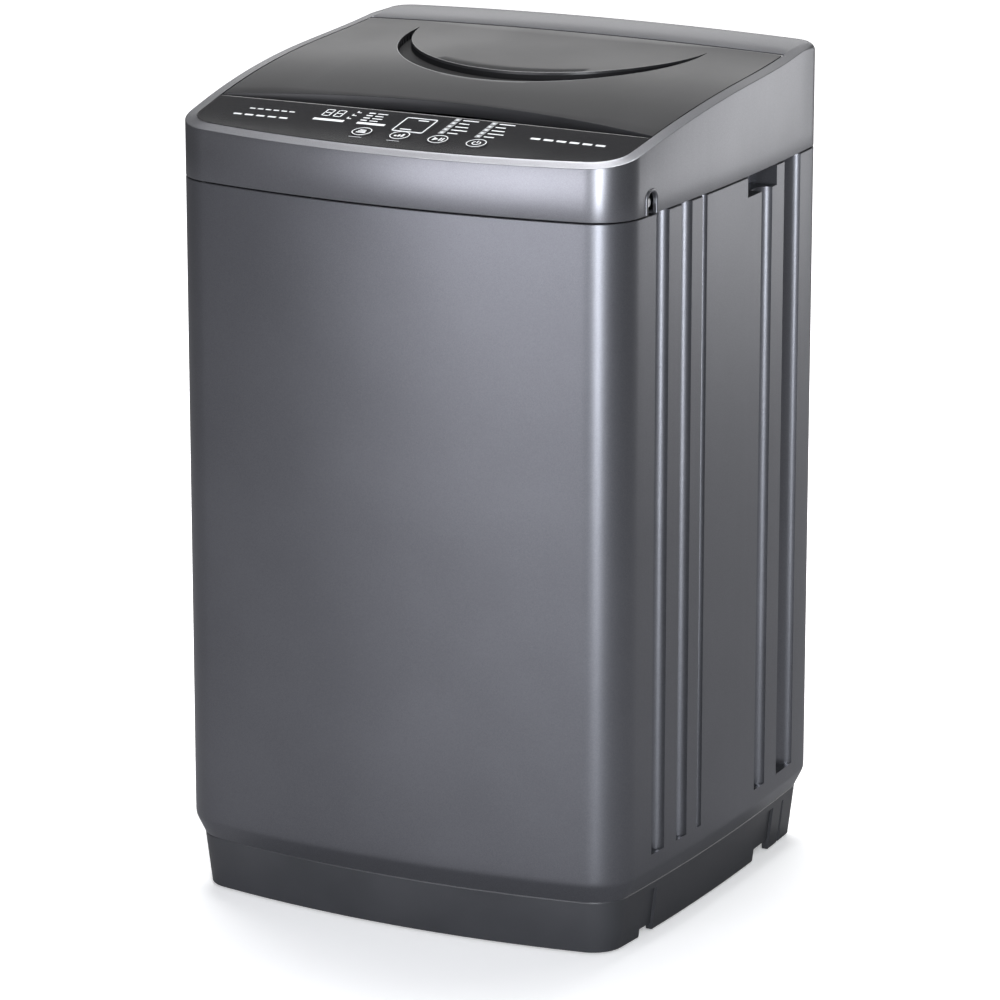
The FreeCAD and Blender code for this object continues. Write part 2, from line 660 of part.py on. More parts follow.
def build_top_cover():
    """The top cover: rim, deck with pockets for fascia and lid, loading mouth, skirt down to the seam."""
    low = mm.seam + mm.seam_gap
    below_top = crown.under(0)
    body = plan.prism(0, low, SKY).common(below_top)
    deck_low = crown.under(mm.slab)
    room = plan.prism(mm.skin, low - 1, SKY).common(deck_low)
    cover = body.cut(room)
    inside = plan.prism(mm.ring_width, low, SKY)
    fascia_bed = inside.common(between(-half_depth, mm.fascia_rear)).cut(crown.under(mm.fascia_thick + 0.2))
    lid_bed = inside.common(between(pocket_front, pocket_rear)).cut(crown.under(mm.lid_pocket))
    fascia_room = plan.prism(mm.ring_width + 5, low, SKY).common(between(-half_depth + 20, mm.fascia_rear - 4))
    fascia_room = fascia_room.common(crown.under(mm.fascia_thick + 3.4))
    rear_room = plan.prism(mm.skin + 4, low, SKY).common(between(pocket_rear + 4, half_depth))
    rear_room = rear_room.common(crown.under(mm.skin))
    mouth_y = mm.mouth_place
    mouth = cylinder(mm.mouth_radius, mm.mouth_low - 1, SKY, y=mouth_y)
    collar = cylinder(mm.mouth_radius + 3, mm.mouth_low, SKY, y=mouth_y).common(crown.under(mm.lid_pocket + 2))
    cover = cover.cut([fascia_bed, lid_bed, fascia_room, rear_room]).fuse(collar).cut(mouth)
    cover = cover.cut([crown.on(cylinder(mm.key_radius + 3, -12, 2), x, y) for x, y in key_places()])
    bosses = []
    notches = []
    for side, y, z in arch_places():
        reach = plan.half_width_at(y)
        boss = box((reach - 20, y - 12, low), (reach - 1.5, y + 12, z + 14))
        arch = across(8.0, reach - 3.2, reach + 5, y, z + 3)
        arch = arch.fuse(box((reach - 3.2, y - 8, 700), (reach + 5, y + 8, z + 3)))
        if side < 0:
            boss = boss.mirror(Vector(0, 0, 0), Vector(1, 0, 0))
            arch = arch.mirror(Vector(0, 0, 0), Vector(1, 0, 0))
        bosses.append(boss)
        notches += [arch, cover_screw(side, y, z, mm.running)]
    cover = cover.fuse(bosses).cut(notches)
    posts = [crown.on(cylinder(3, -10.3, -5.5), x, y) for x, y in board_posts()]
    pins = across(mm.hinge_pin + mm.running, -half_width + 8, half_width - 8, mm.hinge_place, hinge_z)
    coded("top_cover", cover.fuse(posts).cut(pins).removeSplitter())
    coded("cover_screws", Part.makeCompound([cover_screw(side, y, z, 0) for side, y, z in arch_places()]))


def board_posts():
    return [(-88.0, -186.0), (124.0, -186.0), (-88.0, -160.0), (124.0, -160.0)]


def indicator_places():
    """Two columns of five indicator lamps."""
    return [(x, -176.0 + 8.0 * k) for x in (33.0, 73.0) for k in range(5)]


def build_controls():
    """Fascia with its window and lamps, the circuit board with four switches, and four sprung keys."""
    gap = float(mm.fit_gap)
    plate = plan.prism(mm.ring_width + gap, mm.seam, SKY).common(between(-half_depth, mm.fascia_rear - gap))
    plate = plate.common(crown.under(0)).cut(crown.under(mm.fascia_thick))
    key_holes = [crown.on(cylinder(mm.key_radius + gap, -9, 9), x, y) for x, y in key_places()]
    window_seat = crown.on(box((-22, -20, -1.4), (22, 20, 6)), -2, -164)
    lamp_holes = [crown.on(cylinder(1.55, -6, 6), x, y) for x, y in indicator_places()]
    coded("control_fascia", plate.cut([*key_holes, window_seat, *lamp_holes]))
    window = box((-21.7, -19.7, -1.4), (21.7, 19.7, 0.2))
    coded("display_window", crown.on(window.makeFillet(1.0, window.Edges[0:1]), -2, -164))
    lamps = [crown.on(cylinder(1.5, -2.9, 0.2), x, y) for x, y in indicator_places()]
    coded("indicator_lamps", Part.makeCompound(lamps))
    board = box((-112, -20, -mm.board_below - mm.board_thick), (112, 16, -mm.board_below))
    coded("control_board", crown.on(board, 18, -176))
    switches = []
    tilt = crown.slope(mm.key_row)
    board_frame = crown.frame_at(18, -176)
    for x, y in key_places():
        switch = box((-3.5, -3.5, 0), (3.5, 3.5, 4.3))
        switch.Placement = Placement(board_frame.multVec(Vector(x - 18, -14.5, -float(mm.board_below))),
                                     board_frame.Rotation)
        switches.append(switch)
    coded("key_switches", Part.makeCompound(switches))
    cap, skirt = mm.key_radius, mm.key_radius + 1.8
    for name, (x, y) in zip(("program_key", "level_key", "start_key", "power_key"), key_places()):
        key = turned(name, ((0, -6.0), (3, -6.0), (3, -4.4), (skirt, -4.4), (skirt, -3.4), (cap, -3.4),
                            (cap, 0.5), (cap - 0.8, 0.9), (0, 0.9)), x=x, y=y, z=crown.height(y))
        key.Placement = Placement(Vector(x, y, crown.height(y)), Rotation(Vector(1, 0, 0), tilt))


def moon_cutter(radius, y, low_drop, high_drop):
    """A disc cut off straight behind, between two depths below the top."""
    disc = cylinder(radius, 700, SKY, y=y).common(between(-half_depth, mm.hinge_place - 20))
    return disc.common(crown.under(high_drop)).cut(crown.under(low_drop))


def build_lid():
    """The lid: a skirted panel with a half moon inlay, hinge pins and soft stops."""
    edge = mm.ring_width + 1.5
    front_half = plan.half_width_at(mm.lid_front) - float(edge)
    rise = float(mm.lid_front_rise)
    arch_radius = (front_half ** 2 + rise ** 2) / (2 * rise)
    arch_y = float(mm.lid_front) + rise - arch_radius
    blade = cylinder(arch_radius, 700, SKY, y=arch_y)
    rear = float(mm.hinge_place) + 2.0
    outside = plan.prism(edge, 700, SKY).common(between(mm.lid_front, rear)).cut(blade)
    lid = outside.common(crown.under(0)).cut(crown.under(mm.lid_depth))
    inner_blade = cylinder(arch_radius + float(mm.lid_skin), 700, SKY, y=arch_y)
    inside = plan.prism(edge + mm.lid_skin, 700, SKY).common(between(mm.lid_front, rear - 8)).cut(inner_blade)
    lid = lid.cut(inside.common(crown.under(mm.lid_skin)))
    finger = box((-75, -140, 700), (75, -70, SKY)).common(crown.under(6.0))
    bowl = moon_cutter(mm.moon_radius + 2.5, mm.moon_place, mm.moon_depth + 3, 0)
    seat = moon_cutter(mm.moon_radius, mm.moon_place, mm.moon_depth + 4, -1)
    lid = lid.cut(finger).fuse(bowl).cut(seat)
    eyes = across(mm.hinge_pin, -half_width + 9, half_width - 9, mm.hinge_place, hinge_z)
    coded("lid_panel", lid.cut(eyes).removeSplitter())
    inlay = moon_cutter(mm.moon_radius - 0.2, mm.moon_place, mm.moon_depth + 3, 0)
    inner_radius = mm.moon_radius + 2.6
    inner_y = mm.moon_place + 34.6
    crescent = cylinder(mm.moon_radius + 5, 700, SKY, y=mm.moon_place).cut(cylinder(inner_radius, 690, SKY, y=inner_y))
    crescent = crescent.common(crown.under(-2)).cut(crown.under(mm.moon_depth))
    inlay = inlay.cut(crescent)
    hollow = moon_cutter(mm.moon_radius - 10, mm.moon_place + 40, mm.moon_depth + 4, 3.0)
    solids = sorted(inlay.cut(hollow).Solids, key=lambda solid: -solid.Volume)
    coded("lid_inlay", solids[0])
    reach = plan.half_width_at(mm.hinge_place)
    pin = across(mm.hinge_pin, reach - float(edge) - 14, reach - 8.5, mm.hinge_place, hinge_z)
    coded("hinge_pins", Part.makeCompound(mirrored_pair(pin)))
    stops = []
    for x, y in corners(205, 0):
        where = -105.0 if len(stops) < 2 else 120.0
        stop = cylinder(5, crown.height(where) - 30, SKY, x, where)
        stops.append(stop.common(crown.under(mm.lid_skin)).cut(crown.under(mm.lid_pocket - mm.fit_gap)))
    coded("lid_stops", Part.makeCompound(stops))


def build_tub():
    """The outer tub with lugs, its splash rim, and what hangs below it."""
    radius, wall, floor, top = mm.tub_radius, mm.tub_wall, mm.tub_floor, mm.tub_top
    hub = mm.bearing_radius + 6.0
    shell = cylinder(radius, floor, top).cut(cylinder(radius - wall, floor + 4, top + 1))
    lugs = []
    reach = math.hypot(float(mm.rod_place_x), float(mm.rod_place_y)) + 17
    for x, y in corners(mm.rod_place_x, mm.rod_place_y):
        arm = box((radius - 6, -18, mm.lug_low), (reach, 18, mm.lug_low + mm.lug_thick))
        web = box((radius - 6, -3, mm.lug_low + mm.lug_thick - 1), (reach - 24, 3, mm.lug_low + 60))
        arm = arm.fuse(web)
        arm.rotate(Vector(0, 0, 0), Vector(0, 0, 1), math.degrees(math.atan2(y, x)))
        lugs.append(arm)
    ribs = [cylinder(radius + 4, z, z + 6).cut(cylinder(radius - 1, z - 1, z + 7)) for z in (300, 470, 640)]
    room = cylinder(radius - wall, floor + 4, top + 1)
    holes = [cylinder(mm.rod_radius + 2, mm.lug_low - 1, mm.lug_low + 20, x, y)
             for x, y in corners(mm.rod_place_x, mm.rod_place_y)]
    holes += [cylinder(4 + mm.running, floor - 1, floor + 5, x, y) for x, y in bolt_places()]
    drain = cylinder(18, floor - 1, floor + 5, mm.drain_place_x, mm.drain_place_y)
    tub = shell.fuse([*lugs, *ribs]).cut([room, *holes, drain, cylinder(hub, floor - 1, floor + 5)])
    coded("outer_tub", tub.removeSplitter())
    turned("tub_rim", ((mm.rim_mouth, top + 1), (mm.rim_mouth + 4, top), (radius - wall - 0.3, top),
                       (radius - wall - 0.3, top - 10), (radius - wall - 3.3, top - 10),
                       (radius - wall - 3.3, top - 3), (mm.rim_mouth + 3, top - 3), (mm.rim_mouth + 3, top - 12),
                       (mm.rim_mouth, top - 12)))
    plate_low = floor - mm.plate_thick
    padded("motor_plate", mm.plate_thick, rectangle(-80, -72, mm.motor_place + 58, 72),
           [(0, 0, mm.bearing_radius + 8), *[(x, y, 4 + mm.running) for x, y in bolt_places()]], z=plate_low)
    bolt_shapes = []
    for x, y in bolt_places():
        head = cylinder(7, plate_low - 5, plate_low, x, y)
        bolt_shapes.append(head.fuse(cylinder(4, plate_low - 1, floor + 4, x, y)))
    coded("plate_bolts", Part.makeCompound(bolt_shapes))


def bolt_places():
    return [(-68.0, -60.0), (-68.0, 60.0), (70.0, -60.0), (70.0, 60.0)]


def build_suspension():
    """Four rods hang from corner brackets; the tub rides on springs between their cups and its lugs."""
    x, y = mm.rod_place_x, mm.rod_place_y
    radius = mm.rod_radius
    core = cabinet_core(mm.skin, mm.rod_seat - 20, mm.rod_seat + 30)
    brackets, rods, seats, low_cups, top_cups, coils = [], [], [], [], [], []
    cup, thick = float(mm.cup_radius), float(mm.cup_thick)
    spring_low = float(mm.rod_cup) + thick
    spring_high = float(mm.lug_low) - thick
    wire, turns = 1.6, 9
    helix = Part.makeHelix((spring_high - spring_low - 2 * wire) / turns, spring_high - spring_low - 2 * wire, 13)
    ring_wire = Part.Wire(Part.makeCircle(wire, Vector(13, 0, 0), Vector(0, 1, 0)))
    coil = Part.Wire(helix).makePipeShell([ring_wire], True, True)
    for px, py in corners(x, y):
        sx, sy = math.copysign(1, px), math.copysign(1, py)
        block = box((min(px - sx * 26, sx * 300), min(py - sy * 22, sy * 300), mm.rod_seat),
                    (max(px - sx * 26, sx * 300), max(py - sy * 22, sy * 300), mm.rod_seat + 4))
        hole = cylinder(radius + 3, mm.rod_seat - 1, mm.rod_seat + 5, px, py)
        pieces = block.common(core).cut(hole).Solids
        brackets.append(max(pieces, key=lambda solid: solid.Volume))
        seat_low = float(mm.rod_seat) + 4
        seat = cylinder(12, seat_low, seat_low + 8, px, py).cut(cylinder(radius + mm.running, 0, SKY, px, py))
        seats.append(seat)
        rod = cylinder(radius, mm.rod_cup - 6, seat_low + 8, px, py)
        rod = rod.fuse([cylinder(7, seat_low + 8, seat_low + 13, px, py),
                        cylinder(7, mm.rod_cup - 6, mm.rod_cup, px, py)])
        rods.append(rod)
        through = cylinder(radius + mm.running, 0, SKY, px, py)
        low_cup = cylinder(cup, mm.rod_cup, spring_low, px, py).cut(through)
        low_cups.append(low_cup)
        upper = cylinder(cup, spring_high, mm.lug_low, px, py)
        top_cups.append(upper.cut(cylinder(radius + 1.0, 0, SKY, px, py)))
        spring = coil.copy()
        spring.translate(Vector(px, py, spring_low + wire))
        coils.append(spring)
    coded("corner_brackets", Part.makeCompound(brackets))
    coded("suspension_rods", Part.makeCompound(rods))
    coded("rod_seats", Part.makeCompound(seats))
    coded("lower_spring_cups", Part.makeCompound(low_cups))
    coded("upper_spring_cups", Part.makeCompound(top_cups))
    coded("suspension_springs", Part.makeCompound(coils))


def build_drive():
    """Clutch, bearings, shafts, pulleys, belt and motor below the tub."""
    floor, plate_low = mm.tub_floor, mm.tub_floor - mm.plate_thick
    low, radius = mm.clutch_low, mm.clutch_radius
    seat, width = mm.bearing_radius, mm.bearing_width
    turned("clutch_housing", ((seat, plate_low), (radius + 8, plate_low), (radius + 8, plate_low - 4),
                              (radius, plate_low - 4), (radius, low), (seat, low), (seat, low + width),
                              (radius - 5, low + width + 4), (radius - 5, plate_low - width - 6),
                              (seat, plate_low - width - 2)))
    inner = mm.spin_radius + mm.running
    turned("spin_bearings", ring(inner, seat, low, low + width),
           ring(inner, seat, plate_low - width, plate_low))
    turned("shaft_seal", ring(inner, seat + 5.8, floor, floor + 7))
    bore = mm.drive_radius + mm.running
    basket_low = mm.basket_floor
    turned("spin_shaft", ring(bore, mm.spin_radius, low - 4, basket_low - 2))
    disc, drive = mm.driven_radius, mm.drive_radius
    belt_low, belt_high = mm.belt_low, mm.belt_low + mm.belt_width
    turned("drive_shaft", ((0, belt_low - 8), (drive - 2.5, belt_low - 8), (drive - 2.5, low - 8), (drive, low - 8),
                           (drive, basket_low + 12), (0, basket_low + 12)))
    for name, size, hub, x in (("driven_pulley", disc, drive - 2.5, 0.0),
                               ("motor_pulley", mm.motor_pulley_radius, mm.motor_shaft_radius, mm.motor_place)):
        turned(name, ((hub, belt_low - 1), (hub + 6, belt_low - 1), (hub + 6, belt_low + 2), (size - 6, belt_low + 2),
                      (size - 6, belt_low - 3), (size + 3, belt_low - 3), (size + 3, belt_low - 0.6),
                      (size, belt_low - 0.6), (size, belt_high + 0.6), (size + 3, belt_high + 0.6),
                      (size + 3, belt_high + 3), (size - 6, belt_high + 3), (size - 6, belt_high - 2),
                      (hub + 6, belt_high - 2), (hub + 6, belt_high + 1), (hub, belt_high + 1)), x=x)
    nut = Part.Face(Part.Wire(Part.makePolygon(
        [Vector(12 * math.cos(math.radians(60 * k)), 12 * math.sin(math.radians(60 * k)), 0) for k in range(7)])))
    nut = nut.extrude(Vector(0, 0, 6.5)).cut(cylinder(drive - 2.5, -1, 8))
    nut.translate(Vector(0, 0, float(belt_low) - 7.7))
    coded("pulley_nut", nut)
    coded("drive_belt", belt_shape())
    shaft = mm.motor_shaft_radius
    centre = mm.motor_radius
    turned("motor_housing", ((shaft + mm.running, mm.motor_low), (16, mm.motor_low), (16, mm.motor_low + 8),
                             (centre - 10, mm.motor_low + 8), (centre, mm.motor_low + 16), (centre, plate_low - 14),
                             (centre - 8, plate_low - 6), (centre - 8, plate_low), (shaft + mm.running, plate_low)),
           x=mm.motor_place)
    turned("motor_shaft", ((0, belt_low - 4), (shaft, belt_low - 4), (shaft, plate_low - 10), (0, plate_low - 10)),
           x=mm.motor_place)


def belt_shape():
    """An endless flat belt round both pulleys, a hair clear of them."""
    gap = float(mm.fit_gap)
    big, small = float(mm.driven_radius) + gap, float(mm.motor_pulley_radius) + gap
    thick, span = float(mm.belt_thick), float(mm.motor_place)
    low, width = float(mm.belt_low), float(mm.belt_width)

    def loop(extra):
        lean = math.asin((big - small) / span)
        up = Vector(math.sin(lean), math.cos(lean), 0)
        down = Vector(math.sin(lean), -math.cos(lean), 0)
        far = Vector(span, 0, 0)
        a, b = up * (big + extra), down * (big + extra)
        c, d = far + down * (small + extra), far + up * (small + extra)
        edges = [Part.Arc(a, Vector(-big - extra, 0, 0), b).toShape(), Part.makeLine(b, c),
                 Part.Arc(c, far + Vector(small + extra, 0, 0), d).toShape(), Part.makeLine(d, a)]
        return Part.Face(Part.Wire(edges))

    belt = loop(thick - 1.0).cut(loop(0)).extrude(Vector(0, 0, width))
    belt.translate(Vector(0, 0, low))
    return belt


def build_basket():
    """The perforated basket with its hub plate, balance ring, lint filter and the pulsator in it."""
    radius, wall, floor, top = mm.basket_radius, mm.basket_wall, mm.basket_floor, mm.basket_top
    spin, drive = mm.spin_radius, mm.drive_radius
    shell = cylinder(radius, floor, top).cut(cylinder(radius - wall, floor + wall, top + 1))
    holes = [cylinder(drive + mm.running, floor - 1, floor + 3)]
    for row_index in range(3):
        for step in range(6):
            hole = across(3.0, -radius - 5, radius + 5, 0, 340 + 100 * row_index)
            hole.rotate(Vector(0, 0, 0), Vector(0, 0, 1), 30 * step + 15 * (row_index % 2))
            holes.append(hole)
    coded("wash_basket", shell.cut(holes))
    turned("basket_hub", ((spin, floor - 20), (spin + 10, floor - 20), (spin + 10, floor - 8), (110, floor - 8),
                          (110, floor), (spin - 4, floor), (spin - 4, floor - 2), (spin, floor - 2)))
    mouth, high = mm.ring_mouth, mm.ring_height
    turned("balance_ring", ((mouth + 4, top), (mouth, top + 5), (mouth, top + high - 6), (mouth + 5, top + high),
                            (radius - 4, top + high), (radius + 1, top + high - 5), (radius + 1, top),
                            (radius - wall - 0.3, top), (radius - wall - 0.3, top - 12), (radius - wall - 4, top - 12),
                            (radius - wall - 4, top)))
    filter_box = box((-34, radius - 28, 470), (34, radius + 5, 590))
    filter_box = filter_box.makeFillet(6.0, [edge for edge in filter_box.Edges if edge.BoundBox.ZLength > 50])
    filter_box = filter_box.common(cylinder(radius - wall - 0.3, 400, 650))
    pocket = box((-28, radius - 22, 480), (28, radius + 5, 600)).common(cylinder(radius - wall - 3.5, 400, 650))
    coded("lint_filter", filter_box.cut(pocket))
    size = mm.pulsator_radius
    disc_low = floor + wall + 3.0
    disc = turned("pulsator_disc", ((drive - 2.5, disc_low), (30, disc_low), (34, disc_low + 4),
                                    (size - 6, disc_low + 4), (size - 4, disc_low), (size, disc_low),
                                    (size, disc_low + 9), (size - 8, disc_low + 13), (60, disc_low + 9),
                                    (38, disc_low + 20), (24, disc_low + 26), (drive - 2.5, disc_low + 26)),
                  finished=False)
    fins = []
    for step in range(3):
        fin = document.addObject("Part::Box", f"pulsator_fin_{step}")
        bind(fin, Length=2 * size - 24, Width=14.0, Height=26.0)
        fin.Placement = Placement(Vector(0, 0, 0), Rotation(Vector(0, 0, 1), 60 * step),
                                  Vector(0, 0, 0)).multiply(
            Placement(Vector(-float(size) + 12, -7, float(disc_low) + 8), Rotation()))
        fins.append(fin)
    wheel = document.addObject("Part::MultiFuse", "pulsator_wheel")
    wheel.Shapes = [disc, *fins]
    bore = document.addObject("Part::Cylinder", "pulsator_bore")
    bind(bore, Radius=drive, Height=60.0)
    place(bore, z=disc_low - 10)
    pulsator = document.addObject("Part::Cut", "pulsator_cut")
    pulsator.Base, pulsator.Tool = wheel, bore
    keep(pulsator, "pulsator")
    turned("pulsator_screw", ((0, floor + 12), (drive - 0.05, floor + 12), (drive - 0.05, disc_low + 34),
                              (drive + 6, disc_low + 34), (drive + 6, disc_low + 37), (0, disc_low + 38)))


def build_water():
    """Water inlet, level sensor, lid switch, drain and the rest of the fixed fittings."""
    x, z = mm.inlet_place, mm.inlet_level
    inside = panel_face - 3.0 - 0.2
    block = box((x - 24, inside - 44, z - 22), (x + 24, inside, z + 20))
    spigot_start = panel_face + float(mm.panel_thick) + 1.0
    spigot_end = half_depth - 0.6
    neck = lying(mm.inlet_radius - 1.2, x, inside - 1, spigot_start + 0.1, z)
    spigot = lying(mm.inlet_radius, x, spigot_start, spigot_end, z)
    bore = lying(8.0, x, inside - 20, half_depth + 5, z)
    outlet = cylinder(7.5, z + 18, z + 30, x, inside - 22)
    coded("inlet_valve", block.fuse([neck, spigot, outlet]).cut(bore))
    path_y = inside - 22
    up = 34.0
    start = Vector(float(x), path_y, float(z) + 30.2)
    bend = Vector(float(x), path_y, float(z) + 30 + up)
    arc_end = bend + Vector(30, 0, 30)
    arc_mid = bend + Vector(30 - 30 * math.cos(math.pi / 4), 0, 30 * math.sin(math.pi / 4))
    nozzle_x = -42.0
    finish = Vector(nozzle_x - 0.2, path_y, arc_end.z)
    route = Part.Wire([Part.makeLine(start, bend), Part.Arc(bend, arc_mid, arc_end).toShape(),
                       Part.makeLine(arc_end, finish)])
    hose = route.makePipeShell([Part.Wire(Part.makeCircle(8.5, start, Vector(0, 0, 1)))], True, False)
    coded("inlet_hose", hose)
    low_z = arc_end.z - 14
    nozzle = box((nozzle_x, pocket_rear - 16, low_z), (-nozzle_x, path_y + 12, low_z + 26))
    nozzle = nozzle.cut(box((nozzle_x + 3, pocket_rear - 13, low_z - 1), (-nozzle_x - 3, path_y + 9, low_z + 22)))
    coded("inlet_nozzle", nozzle)
    sensor = lying(22, 120, inside - 20, inside, 672).fuse(lying(12, 120, inside - 27, inside - 19, 672))
    coded("level_sensor", sensor.fuse(cylinder(3, 640, 652, 120, inside - 10)))
    coded("lid_switch", box((190, 136, 786), (222, 156, 812)).fuse(box((200, 142, 811), (208, 150, 818))))
    deck = mm.plinth_top - mm.fit_gap
    turned("motor_capacitor", ((0, deck), (18, deck), (18, deck + 62), (15, deck + 66), (0, deck + 66)), x=-190.0)
    dx, dy = mm.drain_place_x, mm.drain_place_y
    floor = mm.tub_floor
    turned("drain_valve", ((0, floor), (27, floor), (27, floor - 30), (20, floor - 34), (20, floor - 44),
                           (0, floor - 44)), x=dx, y=dy)
    coded("drain_actuator", box((dx - 16, 38, floor - 36), (dx + 16, 92, floor - 1)))
    hose_low = mm.drain_level - 4
    turned("drain_hose", ring(12.0, 15.0, hose_low, floor - 44), x=dx, y=dy)
    bell = cylinder(27, deck, mm.drain_level + 34, dx, dy)
    pipe = lying(mm.drain_radius - 1.0, dx, dy, spigot_start + 0.1, mm.drain_level)
    pipe = pipe.fuse(lying(mm.drain_radius, dx, spigot_start, spigot_end, mm.drain_level))
    bell_room = cylinder(23.5, deck + 3, mm.drain_level + 40, dx, dy)
    pipe_room = lying(mm.drain_radius - 2.5, dx, dy, half_depth + 5, mm.drain_level)
    coded("drain_outlet", bell.fuse(pipe).cut([bell_room, pipe_room]))
    cx, cz = mm.cord_place, mm.cord_level
    face = panel_face + float(mm.panel_thick)
    gland = lying(mm.cord_radius + 3.3, cx, panel_face - 8, half_depth - 4, cz)
    gland = gland.fuse(lying(mm.cord_radius + 7, cx, face, face + 3, cz))
    coded("cord_gland", gland.cut(lying(mm.cord_radius, cx, panel_face - 20, half_depth + 5, cz)))


build_cabinet()
build_back_panel()
build_plinth()
build_feet()
build_top_cover()
build_controls()
build_lid()
build_tub()
build_suspension()
build_drive()
build_basket()
build_water()
document.recompute()

# ---------------------------------------------------------------- checks and export
faults = [item.Name for item in document.Objects if {"Invalid", "Error"} & set(item.State)]
faults += [item.Label for item in parts if item.Shape.isNull() or not item.Shape.isValid() or not item.Shape.Solids]
if faults:
    raise RuntimeError("these objects failed: " + ", ".join(faults))
os.makedirs("parts", exist_ok=True)
for item in parts:
    item.Shape.exportStep(f"parts/{item.Label}.step")
    bounds = item.Shape.BoundBox
    print(f"{item.Label:22s} solids {len(item.Shape.Solids):2d} volume {item.Shape.Volume / 1000:9.1f} cm3 "
          f"x {bounds.XMin:7.1f} {bounds.XMax:7.1f} y {bounds.YMin:7.1f} {bounds.YMax:7.1f} "
          f"z {bounds.ZMin:6.1f} {bounds.ZMax:6.1f}")
print(f"hinge axis y {float(mm.hinge_place):.2f} z {hinge_z:.3f}; key slope {crown.slope(mm.key_row):.3f} degrees; "
      f"parts {len(parts)}")
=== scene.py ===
import sys
import json
import logging
import math
from dataclasses import dataclass
from enum import Enum

import bmesh
import bpy
import numpy as np
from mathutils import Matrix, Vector


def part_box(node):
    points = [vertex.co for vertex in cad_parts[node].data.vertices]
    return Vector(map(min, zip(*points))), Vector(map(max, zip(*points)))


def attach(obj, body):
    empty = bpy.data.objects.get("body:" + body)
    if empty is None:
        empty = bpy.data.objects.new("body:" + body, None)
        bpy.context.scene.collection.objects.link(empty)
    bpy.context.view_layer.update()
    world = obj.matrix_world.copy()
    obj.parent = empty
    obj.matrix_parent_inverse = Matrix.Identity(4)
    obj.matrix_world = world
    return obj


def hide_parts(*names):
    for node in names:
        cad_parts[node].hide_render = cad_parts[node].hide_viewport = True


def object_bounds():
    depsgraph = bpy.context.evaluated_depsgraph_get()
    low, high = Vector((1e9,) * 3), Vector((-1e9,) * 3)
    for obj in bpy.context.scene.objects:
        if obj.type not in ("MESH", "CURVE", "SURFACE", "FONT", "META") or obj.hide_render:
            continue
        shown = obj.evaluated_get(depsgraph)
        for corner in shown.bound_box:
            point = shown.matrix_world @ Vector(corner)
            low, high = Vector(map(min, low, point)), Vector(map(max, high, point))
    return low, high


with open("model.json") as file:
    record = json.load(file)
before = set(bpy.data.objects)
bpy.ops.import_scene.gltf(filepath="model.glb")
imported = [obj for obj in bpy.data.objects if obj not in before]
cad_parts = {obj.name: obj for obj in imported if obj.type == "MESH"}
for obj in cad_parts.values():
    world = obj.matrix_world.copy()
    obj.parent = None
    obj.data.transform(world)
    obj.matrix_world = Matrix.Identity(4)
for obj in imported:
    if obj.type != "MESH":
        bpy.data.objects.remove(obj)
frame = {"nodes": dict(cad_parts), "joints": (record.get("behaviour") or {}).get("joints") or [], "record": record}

CAD_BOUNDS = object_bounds()
Array = np.ndarray
MM = 0.001
log = logging.getLogger("washer")


# ---------------------------------------------------------------- places in the frame
def node_box(node: str) -> tuple[Array, Array]:
    """Lowest and highest corner of a node of the frame.

    Args:
        node: name of the node.

    Returns:
        The two corners, in millimetres.
    """
    low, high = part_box(node)
    return np.array(low) / MM, np.array(high) / MM


def smoothstep(low: float, high: float, where: Array) -> Array:
    """A soft step: 3t^2 - 2t^3 with t going from 0 at low to 1 at high."""
    t = np.clip((where - low) / (high - low), 0.0, 1.0)
    return t * t * (3.0 - 2.0 * t)


def spline(knots: Array, values: Array, where: Array) -> Array:
    """A natural cubic spline through the values at the knots.

    The second derivatives at the knots solve a tridiagonal system. In each span the height is the
    sum of a cubic in the distance to either knot.

    Args:
        knots: places of the knots, rising.
        values: heights at the knots.
        where: places to work the spline out at.

    Returns:
        The heights there.
    """
    span = np.diff(knots)
    count = len(knots)
    system, right_side = np.eye(count), np.zeros(count)
    inner = np.arange(1, count - 1)
    system[inner, inner - 1] = span[:-1]
    system[inner, inner] = 2.0 * (span[:-1] + span[1:])
    system[inner, inner + 1] = span[1:]
    slopes = np.diff(values) / span
    right_side[inner] = 6.0 * (slopes[1:] - slopes[:-1])
    bend = np.linalg.solve(system, right_side)
    k = np.clip(np.searchsorted(knots, where) - 1, 0, count - 2)
    before, after, wide = where - knots[k], knots[k + 1] - where, span[k]
    cubic = (bend[k] * after ** 3 + bend[k + 1] * before ** 3) / (6.0 * wide)
    line = (values[k] / wide - bend[k] * wide / 6.0) * after
    return cubic + line + (values[k + 1] / wide - bend[k + 1] * wide / 6.0) * before


# ---------------------------------------------------------------- grids
def grid_faces(rows: int, columns: int, loop_rows: bool = False,
               loop_columns: bool = False) -> Array:
    """Quads between the neighbouring points of a grid.

    A quad goes along the row, up, back and down, so it faces outwards where the columns run
    anticlockwise and the rows run up.

    Args:
        rows: number of rows of points.
        columns: points in a row.
        loop_rows: join the last row to the first.
        loop_columns: join the last column to the first.

    Returns:
        One row of four point numbers for each quad.
    """
    i, j = np.meshgrid(np.arange(rows - (not loop_rows)), np.arange(columns - (not loop_columns)),
                       indexing="ij")
    up, on = (i + 1) % rows, (j + 1) % columns
    quads = np.stack([i * columns + j, i * columns + on, up * columns + on, up * columns + j],
                     axis=-1)
    return quads.reshape(-1, 4)


